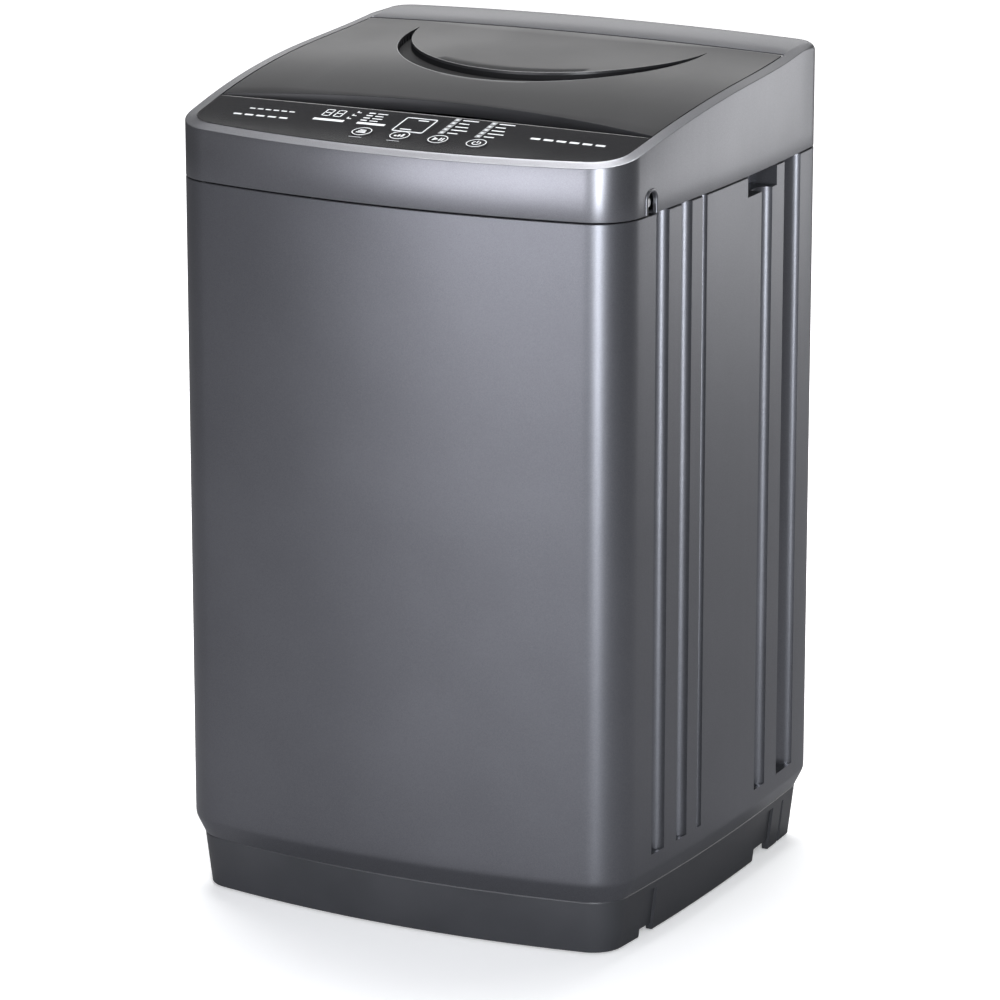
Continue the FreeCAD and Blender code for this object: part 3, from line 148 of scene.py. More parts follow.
def shell_faces(rows: int, columns: int, keep: Array, loop: bool) -> Array:
    """Quads of a shell with two sides: a grid of outer points, then one of inner points.

    Each kept cell gives an outer quad and an inner quad turned the other way. Each edge that has a
    kept cell on one side only gives a rim quad between the two sides.

    Args:
        rows: rows of points on either side.
        columns: points in a row.
        keep: for each cell, whether it is there.
        loop: join the last column to the first.

    Returns:
        One row of four point numbers for each quad.
    """
    size = rows * columns
    cells = grid_faces(rows, columns, loop_columns=loop).reshape(*keep.shape, 4)
    framed = np.pad(keep, ((1, 1), (0, 0)))
    below, above = framed[:-2], framed[2:]
    if loop:
        before, after = np.roll(keep, 1, axis=1), np.roll(keep, -1, axis=1)
    else:
        framed = np.pad(keep, ((0, 0), (1, 1)))
        before, after = framed[:, :-2], framed[:, 2:]
    faces = [cells[keep], cells[keep][:, ::-1] + size]
    for edge, neighbour in enumerate((below, after, above, before)):
        open_cells = cells[keep & ~neighbour]
        start, end = open_cells[:, edge], open_cells[:, (edge + 1) % 4]
        faces.append(np.stack([end, start, start + size, end + size], axis=-1))
    return np.concatenate(faces)


def two_sides(outer: Array, inner: Array, keep: Array | None = None,
              loop: bool = False) -> tuple[Array, Array]:
    """A closed shell between two grids of the same shape.

    Args:
        outer: points of the outer side, rows by columns by 3.
        inner: points of the inner side.
        keep: cells that are there, or None for all.
        loop: join the last column to the first.

    Returns:
        The points and the quads.
    """
    rows, columns = outer.shape[:2]
    if keep is None:
        keep = np.ones((rows - 1, columns - (not loop)), bool)
    points = np.concatenate([outer.reshape(-1, 3), inner.reshape(-1, 3)])
    return points, shell_faces(rows, columns, keep, loop)


def joined(*parts: tuple[Array, Array]) -> tuple[Array, Array]:
    """Several meshes as one: the points in a row, the quads counted on from the points before."""
    points, faces, first = [], [], 0
    for part_points, part_faces in parts:
        flat = part_points.reshape(-1, 3)
        points.append(flat)
        faces.append(part_faces + first)
        first += len(flat)
    return np.concatenate(points), np.concatenate(faces)


def mirrored(part: tuple[Array, Array]) -> tuple[Array, Array]:
    """The mesh's mirror image across the machine's middle, its quads turned to keep facing out."""
    points, faces = part
    return points.reshape(-1, 3) * (-1.0, 1.0, 1.0), faces[:, ::-1]


def revolved(profile: Array, count: int, x: float = 0.0, y: float = 0.0) -> tuple[Array, Array]:
    """A ring about an upright axis: (r cos a, r sin a, z) for each profile point and angle a.

    Args:
        profile: closed loop of (radius, height), up the outside and down the inside.
        count: steps round the axis.
        x: axis, across.
        y: axis, front to back.

    Returns:
        The points and the quads.
    """
    angle = np.linspace(0.0, 2.0 * math.pi, count, endpoint=False)
    radius, height = profile[:, :1], profile[:, 1:]
    points = np.stack([x + radius * np.cos(angle), y + radius * np.sin(angle),
                       height + 0.0 * angle], axis=-1)
    return points, grid_faces(len(profile), count, loop_rows=True, loop_columns=True)


def rounded_loop(corners: list[tuple[float, float, float]], steps: int = 5) -> Array:
    """A closed loop with round corners.

    Each corner is a quadratic curve from a point before it to a point after it, its radius away.

    Args:
        corners: (x, y, radius) of each corner in order.
        steps: points on each round corner.

    Returns:
        The loop's points.
    """
    data = np.array(corners, float)
    spot, radius = data[:, :2], data[:, 2:]
    to_last, to_next = np.roll(spot, 1, axis=0) - spot, np.roll(spot, -1, axis=0) - spot
    start = spot + to_last / np.linalg.norm(to_last, axis=1, keepdims=True) * radius
    end = spot + to_next / np.linalg.norm(to_next, axis=1, keepdims=True) * radius
    t = np.linspace(0.0, 1.0, steps)[None, :, None]
    curve = (1 - t) ** 2 * start[:, None] + 2 * t * (1 - t) * spot[:, None] + t ** 2 * end[:, None]
    return curve.reshape(-1, 2)


# ---------------------------------------------------------------- shader maths
class Value:
    """A number's socket in a node tree. Arithmetic on it adds Math nodes."""

    def __init__(self, shader: "Shader", socket: bpy.types.NodeSocket) -> None:
        """Wrap an output socket of the shader's tree."""
        self.shader = shader
        self.socket = socket

    def _math(self, operation: str, *terms: "Value | float") -> "Value":
        """A Math node of that operation on the terms in order."""
        node = self.shader.node("ShaderNodeMath", {"operation": operation}, dict(enumerate(terms)))
        return Value(self.shader, node.outputs[0])

    def __add__(self, other: "Value | float") -> "Value":
        """The sum."""
        return self._math("ADD", self, other)

    def __sub__(self, other: "Value | float") -> "Value":
        """The difference."""
        return self._math("SUBTRACT", self, other)

    def __rsub__(self, other: "Value | float") -> "Value":
        """The difference the other way."""
        return self._math("SUBTRACT", other, self)

    def __mul__(self, other: "Value | float") -> "Value":
        """The product."""
        return self._math("MULTIPLY", self, other)

    __radd__ = __add__
    __rmul__ = __mul__

    def step(self, low: float, high: float) -> "Value":
        """A soft step from 0 at low to 1 at high."""
        settings = {"interpolation_type": "SMOOTHSTEP"}
        inputs = {"Value": self, "From Min": low, "From Max": high}
        return Value(self.shader,
                     self.shader.node("ShaderNodeMapRange", settings, inputs).outputs[0])


class Shader:
    """A material's node tree with its Principled shader."""

    def __init__(self, name: str) -> None:
        """Make the material and find its shader."""
        self.material = bpy.data.materials.new(name)
        self.material.use_nodes = True
        self.tree = self.material.node_tree
        self.surface = self.tree.nodes["Principled BSDF"]

    def node(self, kind: str, settings: dict, inputs: dict) -> bpy.types.Node:
        """A node with its settings, then its sockets.

        Args:
            kind: type of the node.
            settings: attributes set first.
            inputs: a value, or something to link, for each socket's name or number.

        Returns:
            The node.
        """
        node = self.tree.nodes.new(kind)
        for name, setting in settings.items():
            setattr(node, name, setting)
        for name, value in inputs.items():
            self.feed(node.inputs[name], value)
        return node

    def feed(self, socket: bpy.types.NodeSocket, value: object) -> None:
        """Link a socket to a value or a socket, or set it to a plain number, colour or vector."""
        if isinstance(value, Value):
            value = value.socket
        if isinstance(value, bpy.types.NodeSocket):
            self.tree.links.new(value, socket)
        else:
            socket.default_value = value

    def place(self, scale: tuple[float, float, float] = (1.0, 1.0, 1.0)) -> bpy.types.NodeSocket:
        """Object coordinates, stretched by a scale for each axis."""
        coordinates = self.node("ShaderNodeTexCoord", {}, {}).outputs["Object"]
        return self.node("ShaderNodeMapping", {},
                         {"Vector": coordinates, "Scale": scale}).outputs[0]

    def noise(self, scale: float, detail: float = 2.0,
              stretch: tuple[float, float, float] = (1.0, 1.0, 1.0)) -> Value:
        """Noise with that many features to the metre, stretched along the axes."""
        inputs = {"Vector": self.place(stretch), "Scale": scale, "Detail": detail}
        return Value(self, self.node("ShaderNodeTexNoise", {}, inputs).outputs[0])

    def cells(self, scale: float) -> Value:
        """Distance to the nearest of scattered points, with that many points to the metre."""
        inputs = {"Vector": self.place(), "Scale": scale}
        return Value(self, self.node("ShaderNodeTexVoronoi", {}, inputs).outputs["Distance"])

    def flecks(self, scale: float) -> Value:
        """A random brightness for each of many small cells."""
        inputs = {"Vector": self.place(), "Scale": scale}
        colour = self.node("ShaderNodeTexVoronoi", {}, inputs).outputs["Color"]
        split = self.node("ShaderNodeSeparateColor", {}, {"Color": colour})
        return Value(self, split.outputs[0])

    def blend(self, share: Value, first: tuple, second: tuple) -> bpy.types.NodeSocket:
        """A colour between two colours, by a share from 0 to 1."""
        inputs = {"Factor": share, 6: (*first, 1.0), 7: (*second, 1.0)}
        return self.node("ShaderNodeMix", {"data_type": "RGBA"}, inputs).outputs[2]

    def bump(self, height: Value, distance: float, strength: float = 1.0) -> None:
        """Raise the surface's normal by a height times a distance in metres."""
        inputs = {"Height": height, "Distance": distance, "Strength": strength}
        self.feed(self.surface.inputs["Normal"], self.node("ShaderNodeBump", {}, inputs).outputs[0])


class Texture(Enum):
    """The fine surface of a finish."""

    FLAKE = "metal flakes under a satin lacquer"
    GRAIN = "fine spark-eroded grain of a mould"
    POLISHED = "polished mould with faint waviness"
    BRUSHED = "lines brushed along the height"
    SPANGLE = "crystals of a zinc coat"
    CAST = "rough skin of a casting"
    PEBBLE = "coarse pebbled rubber"
    WEAVE = "laminate of woven glass"


@dataclass(frozen=True)
class Finish:
    """One finish of the machine: its colours, gloss and fine surface."""

    name: str
    colour: tuple[float, float, float]
    second: tuple[float, float, float]
    texture: Texture
    roughness: float = 0.5
    swing: float = 0.06
    metallic: float = 0.0
    coat: float = 0.0
    coat_roughness: float = 0.1
    scale: float = 900.0
    depth: float = 0.00002
    alpha: float = 1.0
    glow: float = 0.0
    specular: float = 0.5

    def fine(self, shader: Shader) -> tuple[Value, Value]:
        """The height of the fine surface and the share of the second colour.

        Args:
            shader: the shader that the nodes go in.

        Returns:
            The height, from 0 to about 1, and the share.
        """
        if self.texture is Texture.FLAKE:
            flakes = shader.flecks(self.scale)
            height = shader.noise(self.scale * 0.4, 3.0)
            return height, flakes * 0.55 + shader.noise(9.0, 3.0) * 0.45
        if self.texture is Texture.GRAIN:
            grain = shader.cells(self.scale) * 0.6 + shader.noise(self.scale * 1.7, 3.0) * 0.6
            return grain, shader.noise(14.0, 4.0) * 0.7 + grain * 0.3
        if self.texture is Texture.POLISHED:
            return shader.noise(self.scale, 1.0), shader.noise(11.0, 4.0)
        if self.texture is Texture.BRUSHED:
            lines = shader.noise(self.scale, 3.0, (1.0, 1.0, 0.03))
            return lines, lines * 0.6 + shader.noise(12.0, 3.0) * 0.4
        if self.texture is Texture.SPANGLE:
            crystals = shader.flecks(self.scale)
            height = shader.noise(self.scale * 3.0, 2.0)
            return height, crystals * 0.6 + shader.noise(20.0, 4.0) * 0.4
        if self.texture is Texture.CAST:
            skin = shader.noise(self.scale, 5.0)
            return skin, skin * 0.5 + shader.noise(25.0, 5.0) * 0.5
        if self.texture is Texture.PEBBLE:
            pebbles = 1.0 - shader.cells(self.scale).step(0.1, 0.7)
            return pebbles, shader.noise(30.0, 4.0)
        warp = shader.noise(self.scale, 1.0, (1.0, 0.12, 1.0))
        weft = shader.noise(self.scale, 1.0, (0.12, 1.0, 1.0))
        weave = (warp + weft) * 0.5
        return weave, weave

    def material(self) -> bpy.types.Material:
        """The material: its looks vary with the fine surface and with soft smudges."""
        shader = Shader(self.name)
        height, share = self.fine(shader)
        smudge = shader.noise(7.0, 5.0).step(0.35, 0.75)
        surface = shader.surface.inputs
        shader.feed(surface["Base Color"],
                    shader.blend(share.step(0.2, 0.8), self.colour, self.second))
        shader.feed(surface["Roughness"],
                    self.roughness + self.swing * (smudge - 0.5) + 0.03 * share)
        constants = {"Metallic": self.metallic, "Coat Weight": self.coat,
                     "Coat Roughness": self.coat_roughness, "Alpha": self.alpha,
                     "Emission Strength": self.glow, "Specular IOR Level": self.specular}
        for socket, number in constants.items():
            surface[socket].default_value = number
        if self.glow:
            shader.feed(surface["Emission Color"], shader.blend(share, self.colour, self.second))
        shader.bump(height, self.depth)
        return shader.material


FINISHES = {finish.name: finish for finish in (
    Finish("cabinet_paint", (0.130, 0.132, 0.144), (0.165, 0.168, 0.182), Texture.FLAKE,
           roughness=0.34, metallic=0.85, scale=2600.0, depth=0.000004, swing=0.03),
    Finish("cover_paint", (0.140, 0.142, 0.153), (0.178, 0.180, 0.193), Texture.FLAKE,
           roughness=0.33, metallic=0.85, scale=2600.0, depth=0.000004, swing=0.03),
    Finish("plinth_plastic", (0.026, 0.027, 0.030), (0.038, 0.039, 0.043), Texture.GRAIN,
           roughness=0.42, scale=1300.0, depth=0.00004),
    Finish("fascia_gloss", (0.010, 0.010, 0.011), (0.014, 0.014, 0.016), Texture.POLISHED,
           roughness=0.16, scale=60.0, depth=0.000004, swing=0.04, specular=0.35),
    Finish("lid_smoke", (0.020, 0.020, 0.021), (0.026, 0.026, 0.028), Texture.POLISHED,
           roughness=0.30, scale=70.0, depth=0.00001, swing=0.05, specular=0.20),
    Finish("lamp", (0.62, 0.64, 0.66), (0.74, 0.76, 0.78), Texture.POLISHED, roughness=0.25,
           glow=0.15),
    Finish("board", (0.02, 0.16, 0.07), (0.04, 0.22, 0.10), Texture.WEAVE, scale=900.0,
           roughness=0.35),
    Finish("rubber", (0.022, 0.022, 0.023), (0.036, 0.036, 0.037), Texture.PEBBLE,
           roughness=0.78, scale=700.0, depth=0.00006),
    Finish("sheet_steel", (0.30, 0.305, 0.31), (0.37, 0.375, 0.38), Texture.SPANGLE,
           roughness=0.40, metallic=0.9, scale=160.0, depth=0.00002),
    Finish("zinc_steel", (0.52, 0.53, 0.54), (0.64, 0.64, 0.63), Texture.SPANGLE,
           roughness=0.32, metallic=1.0, scale=240.0, depth=0.00001),
    Finish("stainless", (0.56, 0.56, 0.56), (0.68, 0.68, 0.67), Texture.BRUSHED,
           roughness=0.24, metallic=1.0, scale=900.0, depth=0.000008),
    Finish("tub_plastic", (0.62, 0.62, 0.60), (0.70, 0.70, 0.68), Texture.GRAIN,
           roughness=0.45, scale=700.0, depth=0.00003),
    Finish("ring_plastic", (0.50, 0.51, 0.52), (0.58, 0.59, 0.60), Texture.GRAIN,
           roughness=0.38, scale=1000.0, depth=0.00002),
    Finish("pulsator_plastic", (0.36, 0.37, 0.39), (0.42, 0.43, 0.45), Texture.POLISHED,
           roughness=0.28, coat=0.3, scale=80.0, depth=0.00002),
    Finish("cast", (0.28, 0.28, 0.29), (0.38, 0.38, 0.38), Texture.CAST,
           roughness=0.5, metallic=0.9, scale=420.0, depth=0.00012),
    Finish("motor_paint", (0.04, 0.042, 0.046), (0.06, 0.062, 0.066), Texture.CAST,
           roughness=0.42, scale=600.0, depth=0.00004),
    # painted highlight: lighter strips that stand for light caught on the crescent's rounded lips
    Finish("painted_lip_highlights", (0.16, 0.16, 0.165), (0.20, 0.20, 0.205), Texture.POLISHED, roughness=0.3,
           scale=200.0, depth=0.000004),
    # painted shade: near-black lining that stands for the shadow in the lid's crescent pocket
    Finish("inlay_black", (0.006, 0.006, 0.0065), (0.010, 0.010, 0.011), Texture.GRAIN,
           roughness=0.6, scale=1500.0, depth=0.00002, specular=0.15),
    Finish("print", (0.70, 0.71, 0.72), (0.78, 0.79, 0.80), Texture.GRAIN,
           roughness=0.5, scale=3000.0, depth=0.000004),
    Finish("print_grey", (0.20, 0.205, 0.21), (0.27, 0.275, 0.28), Texture.GRAIN,
           roughness=0.5, scale=3000.0, depth=0.000004),
)}


class Workshop:
    """Makes the finishes once, and puts finished meshes into the scene."""

    def __init__(self) -> None:
        """Start with no materials made."""
        self.materials: dict[str, bpy.types.Material] = {}

    def material(self, finish: str) -> bpy.types.Material:
        """The material of a finish, made the first time it is asked for."""
        if finish not in self.materials:
            self.materials[finish] = FINISHES[finish].material()
        return self.materials[finish]

    def mesh_object(self, name: str, part: tuple[Array, Array]) -> bpy.types.Object:
        """An object from points in millimetres and quads.

        Points that coincide are joined, so collapsed quads go and seams close.

        Args:
            name: name of the object.
            part: points and quads.

        Returns:
            The object, linked to the scene.
        """
        points, faces = part
        flat = np.ascontiguousarray(points.reshape(-1, 3) * MM, np.float32)
        mesh = bpy.data.meshes.new(name)
        mesh.vertices.add(len(flat))
        mesh.vertices.foreach_set("co", flat.ravel())
        mesh.loops.add(faces.size)
        mesh.loops.foreach_set("vertex_index", np.ascontiguousarray(faces, np.int32).ravel())
        mesh.polygons.add(len(faces))
        mesh.polygons.foreach_set("loop_start", np.arange(0, faces.size, 4, dtype=np.int32))
        mesh.update(calc_edges=True)
        mesh.validate()
        work = bmesh.new()
        work.from_mesh(mesh)
        bmesh.ops.remove_doubles(work, verts=work.verts, dist=2e-6)
        bmesh.ops.dissolve_degenerate(work, edges=work.edges, dist=1e-7)
        work.to_mesh(mesh)
        work.free()
        item = bpy.data.objects.new(name, mesh)
        bpy.context.scene.collection.objects.link(item)
        return item

    def carve(self, piece: bpy.types.Object, cutter: tuple[Array, Array]) -> None:
        """Take a closed shape out of a piece for good.

        Args:
            piece: the piece.
            cutter: points and quads of the shape.
        """
        tool = self.mesh_object("cutter", cutter)
        modifier = piece.modifiers.new("carve", "BOOLEAN")
        modifier.operation = "DIFFERENCE"
        modifier.solver = "EXACT"
        modifier.object = tool
        graph = bpy.context.evaluated_depsgraph_get()
        carved = bpy.data.meshes.new_from_object(piece.evaluated_get(graph))
        piece.modifiers.remove(modifier)
        piece.data = carved
        bpy.data.objects.remove(tool)

    def finish(self, piece: bpy.types.Object, finish: str, body: str,
               replaced: tuple[str, ...] = (), slot: str | None = None,
               sharp: float = 30.0) -> bpy.types.Object:
        """Dress a piece and hang it on its body.

        Args:
            piece: the piece.
            finish: name of its finish.
            body: body that it moves with.
            replaced: nodes of the frame that it stands for.
            slot: material slot, if it isn't named like the finish; not used.
            sharp: edges that turn by more than this many degrees stay crisp.

        Returns:
            The piece.
        """
        mesh = piece.data
        mesh.shade_smooth()
        mesh.set_sharp_from_angle(angle=math.radians(sharp))
        mesh.materials.clear()
        mesh.materials.append(self.material(finish))
        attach(piece, body)
        if replaced:
            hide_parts(*replaced)
        log.info("%s: %d faces, %s", piece.name, len(mesh.polygons), finish)
        return piece

    def piece(self, name: str, part: tuple[Array, Array], finish: str, body: str,
              replaced: tuple[str, ...] = (), slot: str | None = None,
              sharp: float = 30.0) -> bpy.types.Object:
        """A piece from points and quads, dressed and hung on its body."""
        return self.finish(self.mesh_object(name, part), finish, body, replaced, slot, sharp)


# ---------------------------------------------------------------- outline and top
@dataclass
class Perimeter:
    """Points round the outline, each on an arc with its own centre, for true offsets."""

    centre: Array
    unit: Array
    radius: Array

    def at(self, inset: Array | float) -> Array:
        """The points moved in: centre + unit times (radius - inset)."""
        reach = self.radius - np.asarray(inset, float)
        return self.centre + self.unit * reach[..., None]

    def side(self) -> Array:
        """1 on the right side's arc, -1 on the left's, 0 elsewhere."""
        return np.where(np.abs(self.unit[:, 0]) > 0.97, np.sign(self.unit[:, 0]), 0.0)

    def rear(self) -> Array:
        """Whether a point is on the straight back."""
        return self.radius == 1.0


@dataclass(frozen=True)
class Outline:
    """The cabinet in plan: bowed front and sides, straight back, four round corners."""

    width: float
    depth: float
    front_bow: float = 28.7
    side_bow: float = 10.7
    front_corner: float = 48.5
    rear_corner: float = 28.0

    def side_arc(self) -> tuple[Array, float]:
        """Centre and radius of the right side's arc, from its chord and its bow."""
        radius = ((self.depth / 2) ** 2 + self.side_bow ** 2) / (2 * self.side_bow)
        return np.array([self.width / 2 - radius, 0.0]), radius

    def half_width(self, y: Array | float, inset: float = 0.0) -> Array:
        """Half width at a depth between the corners: the side arc's x there."""
        centre, radius = self.side_arc()
        return centre[0] + np.sqrt((radius - inset) ** 2 - np.asarray(y, float) ** 2)

    def perimeter(self, side_y: Array, rear_x: Array, front_count: int = 44,
                  corner_count: int = 18) -> Perimeter:
        """Points round the outline, anticlockwise from the middle of the front.

        The front corner's centre is where circles about the front's and the side's centres meet,
        each with its arc's radius less the corner's.

        Args:
            side_y: depths of the points on a side.
            rear_x: places of the points on the right half of the back, from the corner to 0.
            front_count: points on half of the front.
            corner_count: points on a corner.

        Returns:
            The perimeter.
        """
        bow_radius = ((self.width / 2) ** 2 + self.front_bow ** 2) / (2 * self.front_bow)
        front = np.array([0.0, bow_radius - self.depth / 2])
        side, side_radius = self.side_arc()
        r1, r2 = bow_radius - self.front_corner, side_radius - self.front_corner
        line = side - front
        length = np.linalg.norm(line)
        along = (r1 ** 2 - r2 ** 2 + length ** 2) / (2 * length)
        off = math.sqrt(r1 ** 2 - along ** 2)
        unit = line / length
        options = [front + unit * along + sign * off * np.array([-unit[1], unit[0]])
                   for sign in (-1, 1)]
        corner = max(options, key=lambda spot: spot[0] - spot[1])
        rear_y = self.depth / 2 - self.rear_corner
        rear = np.array([side[0] + math.sqrt((side_radius - self.rear_corner) ** 2 - rear_y ** 2),
                         rear_y])
        first = math.atan2(*(corner - front)[::-1])
        second = math.atan2(*(corner - side)[::-1])
        third = math.atan2(*(rear - side)[::-1])
        angles = np.arcsin(side_y / side_radius)
        angles = angles[(angles > second + 0.002) & (angles < third - 0.001)]
        runs = [(front, bow_radius, np.linspace(-math.pi / 2, first, front_count)),
                (corner, self.front_corner, np.linspace(first, second, corner_count)[1:]),
                (side, side_radius, angles),
                (rear, self.rear_corner, np.linspace(third, math.pi / 2, corner_count))]
        centre = [np.tile(spot, (len(turn), 1)) for spot, _, turn in runs]
        unit = [np.stack([np.cos(turn), np.sin(turn)], axis=1) for _, _, turn in runs]
        radius = [np.full(len(turn), size) for _, size, turn in runs]
        rear_x = rear_x[rear_x < rear[0] - 1.0]
        centre.append(np.stack([rear_x, np.full(len(rear_x), self.depth / 2 - 1.0)], axis=1))
        unit.append(np.tile([0.0, 1.0], (len(rear_x), 1)))
        radius.append(np.ones(len(rear_x)))
        centre, unit, radius = np.concatenate(centre), np.concatenate(unit), np.concatenate(radius)
        flip = np.array([-1.0, 1.0])
        back = slice(-2, 0, -1)
        return Perimeter(np.concatenate([centre, centre[back] * flip]),
                         np.concatenate([unit, unit[back] * flip]),
                         np.concatenate([radius, radius[back]]))


@dataclass(frozen=True)
class TopLine:
    """The top: a spline from front to back that falls to the sides with the square of x."""

    knots: tuple[float, ...] = (-243.0, -195.0, -137.0, 20.0, 162.0, 236.0, 243.0)
    heights: tuple[float, ...] = (794.0, 800.5, 812.0, 835.2, 847.0, 851.5, 850.9)
    fall_knots: tuple[float, ...] = (-243.0, -137.0, 20.0, 165.0, 243.0)
    falls: tuple[float, ...] = (0.3, 1.2, 2.7, 4.3, 5.0)
    reach: float = 245.0

    def height(self, x: Array, y: Array) -> Array:
        """The top's height: spline(y) - fall(y) (x / reach)^2."""
        middle = spline(np.array(self.knots), np.array(self.heights), np.asarray(y, float))
        fall = np.interp(y, self.fall_knots, self.falls)
        return middle - fall * (np.asarray(x) / self.reach) ** 2

    def point(self, x: Array, y: Array, drop: Array | float = 0.0) -> Array:
        """Points on the top, or a drop below it."""
        x, y, drop = np.broadcast_arrays(np.asarray(x, float), np.asarray(y, float),
                                         np.asarray(drop, float))
        return np.stack([x, y, self.height(x, y) - drop], axis=-1)


# ---------------------------------------------------------------- cabinet
@dataclass(frozen=True)
class Groove:
    """An upright groove in a side: steep front wall, flat floor, hollow ramp at the rear."""

    front: float
    width: float
    depth: float
    wall: float = 0.06
    ramp: float = 0.45

    def stations(self) -> Array:
        """Depths along the side where the groove needs points."""
        turn = np.linspace(0.0, math.pi / 2, 10)
        start = 1.0 - self.ramp
        shares = np.concatenate([[-0.01, 0.0, self.wall, self.wall + 0.02, 0.3],
                                 start + self.ramp * np.sin(turn), [1.01]])
        return self.front + shares * self.width

    def profile(self, y: Array) -> Array:
        """Depth of the groove along the side.

        It rises in a straight line over the wall, stays level, and falls along a quarter of an
        ellipse over the ramp: sqrt(1 - s^2), with s from 0 to 1 along the ramp.
        """
        t = (y - self.front) / self.width
        s = np.clip((t - 1.0 + self.ramp) / self.ramp, 0.0, 1.0)
        inside = (t >= 0.0) & (t <= 1.0)
        bowl = np.minimum(t / self.wall, 1.0) * np.sqrt(1.0 - s * s)
        return np.where(inside, bowl, 0.0) * self.depth


GROOVES = (Groove(-148.0, 26.0, 13.0), Groove(-97.0, 22.0, 13.0), Groove(-53.0, 10.0, 7.2),
           Groove(83.0, 27.0, 13.0), Groove(141.0, 44.0, 14.3))


@dataclass
class Cabinet:
    """The moulded cabinet: grooved sides, hand grips, recessed back, turned in at its foot."""

    shop: Workshop
    outline: Outline
    low: float
    seam: float
    skin: float = 3.0
    foot_inset: float = 9.4
    turn_top: float = 77.0
    turn_soft: float = 2.5
    groove_foot: float = 94.0
    foot_slope: float = 0.42
    grip: tuple[float, float, float, float] = (49.5, 121.0, 720.0, 30.0)
    recess_half: float = 198.0
    recess_low: float = 90.0
    recess_top: float = 715.0
    recess_depth: float = 14.0
    flange: float = 13.0
    edge: float = 0.8

    def rows(self) -> Array:
        """Heights of the rows of points, dense where the wall bends."""
        step = 0.3
        bend = self.turn_top + np.array([-6.0, -3.5, -2.0, -1.0, 0.0, 1.0, 2.0, 3.5, 6.0])
        top = self.seam - np.array([self.edge * 3, self.edge, self.edge * 0.4, 0.0])
        marks = [self.low, self.low + 6, *bend, self.recess_low - step, self.recess_low,
                 self.groove_foot - step, self.groove_foot, self.groove_foot + step,
                 self.recess_low + self.flange, self.recess_top, self.recess_top + step,
                 self.recess_top - self.flange, self.grip[2] - step, self.grip[2], self.grip[2] + 6,
                 *top]
        spread = np.linspace(125.0, 695.0, 20)
        return np.unique(np.concatenate([marks, spread]))

    def hollow(self, y: Array, x: Array, side: Array, rear: Array, z: Array) -> Array:
        """Depth of what is let into the walls, for each height and point of the perimeter."""
        tall, step = z[:, None], 0.15
        grooves = np.max([groove.profile(y) for groove in GROOVES], axis=0) * (side != 0)
        grooves = grooves * (tall > self.groove_foot - step)
        y_low, y_high, grip_low, grip_depth = self.grip
        in_grip = (y >= y_low - 1e-6) & (y <= y_high + 1e-6) & (side != 0)
        grip = grip_depth * in_grip * (tall > grip_low - step)
        in_recess = rear & (np.abs(x) <= self.recess_half + 1e-6)
        low_edge, top_edge = self.recess_low - step, self.recess_top + step
        recess = self.recess_depth * in_recess * (tall > low_edge) * (tall < top_edge)
        return np.maximum(np.maximum(grooves, grip), recess)

    def build(self) -> None:
        """The cabinet as two sides of one shell with the service opening in its back."""
        y_low, y_high = self.grip[:2]
        grip_marks = np.array([y_low - 0.3, y_low, y_high, y_high + 0.3])
        side_y = np.unique(np.concatenate([*[groove.stations() for groove in GROOVES], grip_marks,
                                           np.linspace(-215.0, 215.0, 40)]).round(4))
        opening = self.recess_half - self.flange
        rear_x = np.concatenate([[self.recess_half + 10, self.recess_half + 0.3, self.recess_half,
                                  opening],
                                 np.linspace(opening - 18, 0.0, 9)])
        ring = self.outline.perimeter(side_y, rear_x)
        plan = ring.at(0.0)
        z = self.rows()
        hollow = self.hollow(plan[:, 1], plan[:, 0], ring.side(), ring.rear(), z)
        gap = self.turn_top - z
        slope = self.foot_inset / (self.turn_top - self.low)
        turn_in = slope * 0.5 * (gap + np.sqrt(gap ** 2 + self.turn_soft ** 2))
        round_over = self.edge * np.clip((z - self.seam + self.edge) / self.edge, 0.0, 1.0) ** 2
        tilt = self.foot_slope * hollow * (np.abs(z - self.groove_foot) < 0.01)[:, None]
        outer = self.layer(ring, hollow + (turn_in + round_over)[:, None], z[:, None] - tilt)
        near = np.linalg.norm(plan[:, None] - plan[None], axis=2) < self.skin + 0.05
        wide = np.where(near[None], hollow[:, None, :], 0.0).max(axis=2)
        close = np.abs(z[:, None] - z[None]) < self.skin + 0.05
        wide = np.where(close[:, :, None], wide[None], 0.0).max(axis=1)
        inner = self.layer(ring, wide + self.skin + turn_in[:, None], z[:, None] + 0.0 * wide)
        middle_x = (plan[:, 0] + np.roll(plan[:, 0], -1)) / 2
        middle_z = (z[1:] + z[:-1]) / 2
        low, high = self.recess_low + self.flange, self.recess_top - self.flange
        hole = (np.abs(middle_x) < opening) & ring.rear() & np.roll(ring.rear(), -1)
        keep = ~(hole[None] & ((middle_z > low) & (middle_z < high))[:, None])
        part = two_sides(outer, inner, keep, loop=True)
        self.shop.piece("cabinet_moulding", part, "cabinet_paint", "cabinet", ("cabinet_shell",))

    @staticmethod
    def layer(ring: Perimeter, inset: Array, z: Array) -> Array:
        """Points of the perimeter moved in by an inset at each height."""
        spot = ring.at(inset)
        return np.concatenate([spot, np.broadcast_to(z, inset.shape)[..., None]], axis=2)


